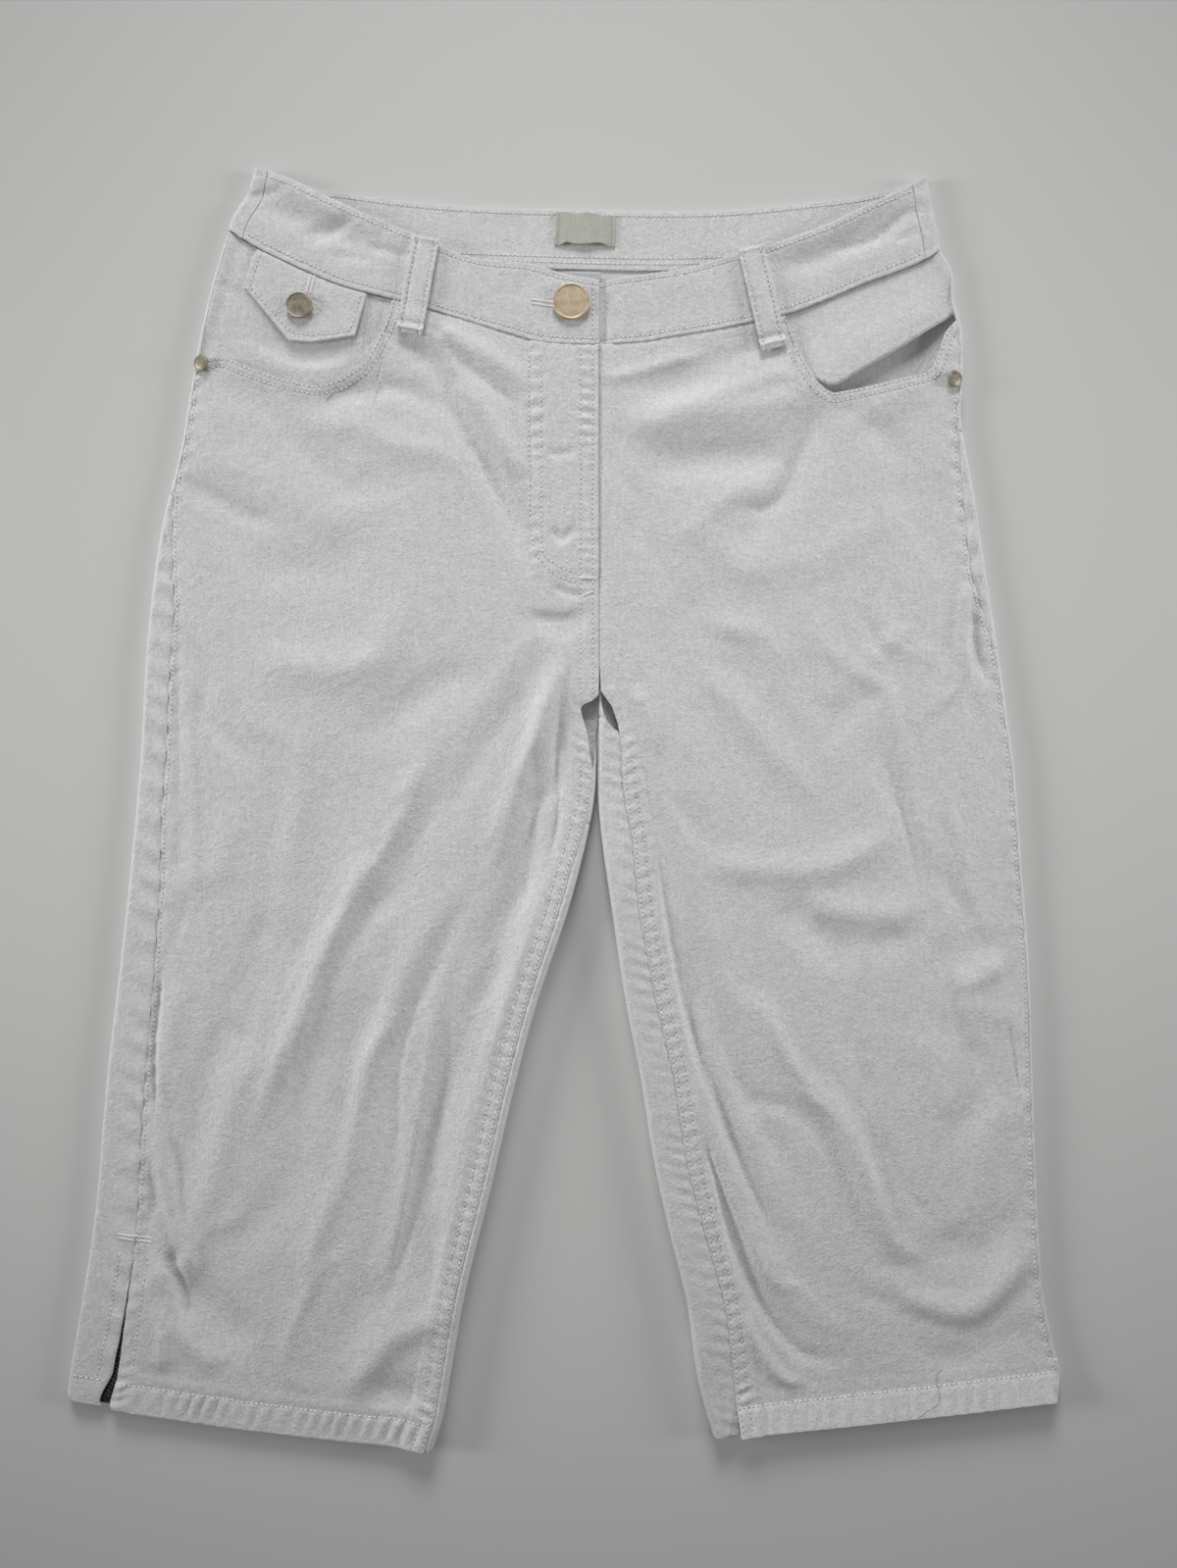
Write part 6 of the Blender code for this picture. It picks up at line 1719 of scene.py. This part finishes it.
FRONT_BARS = {
    "right": [((-253.5, -241.9), (-234.2, -244.7), 1.5),
              ((-253.0, -244.2), (-234.6, -247.0), 1.5), ((9.0, 130.6), (18.2, 130.4), 1.8),
              ((9.4, 120.0), (16.4, 123.0), 1.6)],
    "left": [((278.2, -313.4), (281.6, -314.5), 2.0)],
}
for side, bars in FRONT_BARS.items():
    sew(f"bar_tacks_{side}", top_of(f"front_panel_cloth_{side}", f"back_panel_cloth_{side}"),
        [stitch for bar in bars for stitch in satin(*bar)], thread, rise=0.5)
hole = satin((-18.5, 288.8), (-6.0, 286.9), 1.6) + satin((-18.0, 286.4), (-6.0, 284.6), 1.6)
sew("waist_buttonhole", top_of("waistband_front_cloth_right"), hole, thread, rise=0.4)
print("sewn pieces:", len([name for name in pieces if "stitches" in name or "bar" in name]))

# %% [markdown]
# ## Label and size tag
# The woven label is sewn down at its two short ends, so its middle stands away from the
# band in a shallow wave. It's left bare. The size tag is a small folded slip of the same
# kind, caught in the seam under it.

# %% Label and tag
LABEL_CORNERS = [(-4.6, 341.0), (29.5, 338.6), (29.0, 320.7), (-5.7, 321.8)]
LABEL_FOOT, LABEL_LENGTH, LABEL_ROWS = 3.4, 34.0, (0.055, 0.945)
TAG_CORNERS = [(0.0, 306.8), (21.0, 306.4), (20.4, 294.0), (0.6, 294.4)]
TAG_FOOT, TAG_DEPTH = 3.3, 12.0


def between(corners, u, v):
    (ax, ay), (bx, by), (cx, cy), (dx, dy) = corners
    return ((ax * (1 - u) + bx * u) * (1 - v) + (dx * (1 - u) + cx * u) * v,
            (ay * (1 - u) + by * u) * (1 - v) + (dy * (1 - u) + cy * u) * v)


def label_surface(u, v):
    x, y = between(LABEL_CORNERS, u, v)
    middle = smoothstep(0.07, 0.22, u) * smoothstep(0.93, 0.78, u)
    wave = np.sin(2 * math.pi * (u * 2.1 + 0.12)) * middle
    y = y + 0.55 * wave * (1 - v) + middle * v * (0.9 + 0.6 * np.sin(2 * math.pi * u * 1.7))
    rise = middle * (0.3 + 1.1 * v + 0.35 * wave)
    ridge = sum(0.3 * bell((u - row) * LABEL_LENGTH, 0.6) for row in LABEL_ROWS)
    return x, y, LABEL_FOOT + rise - ridge


def tag_surface(u, v):
    x, y = between(TAG_CORNERS, u, v)
    z = TAG_FOOT + 0.5 * np.sin(math.pi * u) * v - 0.9 * v
    return x, y, z + 0.25 * bell(v * TAG_DEPTH - 1.2, 0.6)


columns, rows = evenly(60, 30)
label = cloth_sheet("waist_label_ribbon", label_surface, columns, rows, 0.8, (0, 0, 1),
                    finish=ribbon, slot="label_ribbon", soften=0.2)
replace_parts(label, "waist_label")
tag = cloth_sheet("size_tag_ribbon", tag_surface, *evenly(30, 16), 0.7, (0, 0, 1),
                  finish=tag_ribbon, soften=0.2)
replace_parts(tag, "size_tag")
end_rows = [Line([between(LABEL_CORNERS, u, v) for v in (0.04, 0.96)], smooth=False)
            for u in LABEL_ROWS]
sew("label_stitches", top_of("waist_label_ribbon"),
    [stitch for line in end_rows for stitch in along_row(line, 1.9, 1.3)], ribbon_thread,
    slot="label_ribbon", width=0.4, rise=0.25)
print("label area, mm2:", round(flat_area(label_surface, columns, rows) * 1e6))

# %% [markdown]
# ## Buttons and rivets
# The shank button and the flap's button are stamped shells, and the rivets are pressed
# through the corners of the pockets. Each is a profile spun about its axis, with soft
# edges drawn into the profile. The rivets lean outwards with the rolled sides of the legs.

# %% Turned metal
WAIST_BUTTON = [(0, 0), (3.2, 0), (3.2, 0.9), (9.4, 0.9), (10.2, 1.2), (10.45, 1.7),
                (10.3, 2.25), (9.95, 2.52), (9.6, 2.55), (9.35, 2.44), (9.2, 2.3), (9.0, 2.24),
                (8.6, 2.23), (6.0, 2.25), (3.0, 2.27), (0, 2.28)]
COIN_BUTTON = [(0, 0), (2.8, 0), (2.8, 0.8), (6.3, 0.8), (7.1, 1.05), (7.45, 1.5), (7.4, 2.0),
               (7.15, 2.32), (6.85, 2.38), (6.6, 2.28), (6.45, 2.16), (6.2, 2.12), (3.0, 2.16),
               (0, 2.18)]
RIVET = [(0, 0), (4.6, 0), (4.8, 0.3), (4.72, 0.7), (4.4, 0.95), (4.05, 1.0), (3.75, 0.9),
         (3.55, 0.93), (3.2, 1.12), (2.6, 1.26), (1.5, 1.34), (0, 1.36)]


def turned(name, profile, at, finish, slot, lean, steps):
    """A profile of (radius, height) spun about a standing axis, then leaned sideways."""
    shape = bmesh.new()
    line = [shape.verts.new((radius * MM, 0, height * MM)) for radius, height in profile]
    for first, second in zip(line, line[1:]):
        shape.edges.new((first, second))
    bmesh.ops.spin(shape, geom=shape.verts[:] + shape.edges[:], cent=(0, 0, 0),
                   axis=(0, 0, 1), angle=2 * math.pi, steps=steps, use_merge=True)
    bmesh.ops.remove_doubles(shape, verts=shape.verts, dist=0.02 * MM)
    bmesh.ops.recalc_face_normals(shape, faces=shape.faces)
    place = Matrix.Translation(Vector(at) * MM) @ Matrix.Rotation(math.radians(lean), 4, "Y")
    bmesh.ops.transform(shape, verts=shape.verts, matrix=place)
    return finish_piece(name, made_mesh(name, shape), finish, slot)


# name, node, profile, foot, finish, slot, lean in degrees, steps of the spin
TURNED = [
    ("waist_button_shell", "waist_button", WAIST_BUTTON, (4.1, 286.7, 7.9), rose_gold,
     "rose_gold", 0, 64),
    ("coin_button_shell", "coin_button", COIN_BUTTON, (-149.9, 284.7, 7.9), old_brass,
     "old_brass", 0, 48),
    ("rivet_cap_right", "rivet_right", RIVET, (-205.6, 252.4, 8.2), old_brass, "old_brass",
     -18, 36),
    ("rivet_cap_left", "rivet_left", RIVET, (221.4, 243.4, 8.5), old_brass, "old_brass",
     18, 36),
]
for name, node, *rest in TURNED:
    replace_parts(turned(name, *rest), node)
print("turned pieces:", [name for name in pieces if "button" in name or "rivet" in name])

# %% [markdown]
# ## Zip in the side slit
# A black tape lies behind the slit with a chain of small teeth down its middle, which only
# shows where the slit opens near the hem. A square steel stop ends it.

# %% Zip
leg = LEGS["right"]
ZIP_START, ZIP_END, ZIP_HALF_WIDTH = leg.outer.share_at_y(-256), 0.997, 6.0
TOOTH_PITCH, TOOTH_HALF_LENGTH, TOOTH_OFFSET, TOOTH_SLANT = 1.15, 1.15, 0.55, 0.12


def zip_surface(u, v):
    t = ZIP_START + (ZIP_END - ZIP_START) * v
    seam, slit, _ = leg.insets(t)
    inset = seam + slit / 2 + ZIP_HALF_WIDTH * (2 * u - 1)
    x, y = leg.on_row(inset, t)
    drop = HEM_WALL + LAYER_GAP + 0.1
    return x, y, leg.top(inset, t, fine=False) - drop - 0.4 * np.abs(2 * u - 1)


tape = cloth_sheet("ankle_zip_tape_cloth", zip_surface, *evenly(14, 60), 0.8, (0, 0, 1),
                   finish=black_tape, slot="zip_black", soften=0.15)
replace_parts(tape, "ankle_zip_tape_right")
teeth_line = on_surface(zip_surface, [(0.5, 0.02), (0.5, 0.955)])
teeth = []
for k, middle in enumerate(np.arange(0.6, teeth_line.length, TOOTH_PITCH)):
    x, y = teeth_line.at(middle)
    offset = TOOTH_OFFSET if k % 2 else -TOOTH_OFFSET
    teeth.append((x + offset - TOOTH_HALF_LENGTH, y + TOOTH_SLANT,
                  x + offset + TOOTH_HALF_LENGTH, y - TOOTH_SLANT))
sew("ankle_zip_teeth", top_of("ankle_zip_tape_cloth"), teeth, zip_steel, "zip_steel",
    width=0.75, rise=0.8)

STOP_CORNERS = [(-261.9, -335.6), (-258.9, -335.2), (-258.7, -338.9), (-261.7, -339.2)]
STOP_SIZE, STOP_MIDDLE_Z = (3.0 * MM, 3.6 * MM, 1.5 * MM), 4.7
stop = bmesh.new()
bmesh.ops.create_cube(stop, size=1)
stop_x, stop_y = (sum(corner[k] for corner in STOP_CORNERS) / 4 for k in (0, 1))
bmesh.ops.scale(stop, verts=stop.verts, vec=STOP_SIZE)
top_face = max(stop.faces, key=lambda face: face.calc_center_median().z)
bmesh.ops.inset_individual(stop, faces=[top_face], thickness=0.45 * MM, depth=-0.35 * MM)
bmesh.ops.translate(stop, verts=stop.verts,
                    vec=(stop_x * MM, stop_y * MM, STOP_MIDDLE_Z * MM))
bmesh.ops.bevel(stop, geom=stop.edges[:], offset=0.2 * MM, segments=2, profile=0.5,
                affect="EDGES", material=-1)
stop_mesh = made_mesh("ankle_zip_stop_box", stop, smooth=False)
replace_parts(finish_piece("ankle_zip_stop_box", stop_mesh, zip_steel, "zip_steel"),
            "ankle_zip_stop_right")
print("teeth:", len(teeth))

# %% [markdown]
# ## Loose threads
# A cut end of thread lies under the coin pocket, another crosses the left hem, and a short
# fibre clings to the left leg.

# %% Loose threads
LOOSE_THREADS = {
    "pocket_thread": ("right", 0.16, [(-117.2, 242.9), (-121.6, 240.1), (-125.0, 237.8),
                                      (-130.6, 236.7), (-133.4, 233.9), (-135.7, 231.1)]),
    "hem_thread": ("left", 0.18, [(214.9, -318.8), (211.5, -323.3), (212.1, -335.0),
                                  (203.1, -341.8), (193.6, -346.8)]),
    "leg_fibre": ("left", 0.10, [(160.0, -78.6), (164.5, -77.0), (167.8, -75.8)]),
}
for name, (side, radius, points) in LOOSE_THREADS.items():
    touch = top_of(f"front_panel_cloth_{side}")
    line = Line(points)
    curve = bpy.data.curves.new(name, "CURVE")
    curve.dimensions = "3D"
    curve.bevel_depth = radius * MM
    curve.bevel_resolution = 1
    curve.use_fill_caps = True
    strand = curve.splines.new("POLY")
    x, y = line.at(np.linspace(0, line.length, 30))
    found = [touch(*spot) for spot in zip(x, y)]
    spots = [hit[0] + Vector((0, 0, radius * MM)) for hit in found if hit]
    strand.points.add(len(spots) - 1)
    for point, spot in zip(strand.points, spots):
        point.co = (*spot, 1)
    drawn = bpy.data.objects.new(name, curve)
    mesh = bpy.data.meshes.new_from_object(drawn)
    bpy.data.objects.remove(drawn)
    finish_piece(name, mesh, loose_thread, "white_twill")
print("pieces so far:", len(pieces))

# %% [markdown]
# ## Floor
# A plain pale surface, a little cooler than the cloth.

# %% Floor
FLOOR_HALF_SIDE = 3.0
floor_shape = bmesh.new()
bmesh.ops.create_grid(floor_shape, x_segments=1, y_segments=1, size=FLOOR_HALF_SIDE)
floor = bpy.data.objects.new("floor", made_mesh("floor", floor_shape, smooth=False))
floor_finish, _, floor_shader = finish_of("pale_floor", 0.85)
floor_shader.inputs["Base Color"].default_value = (0.735, 0.745, 0.725, 1)
floor.data.materials.append(floor_finish)
bpy.context.collection.objects.link(floor)
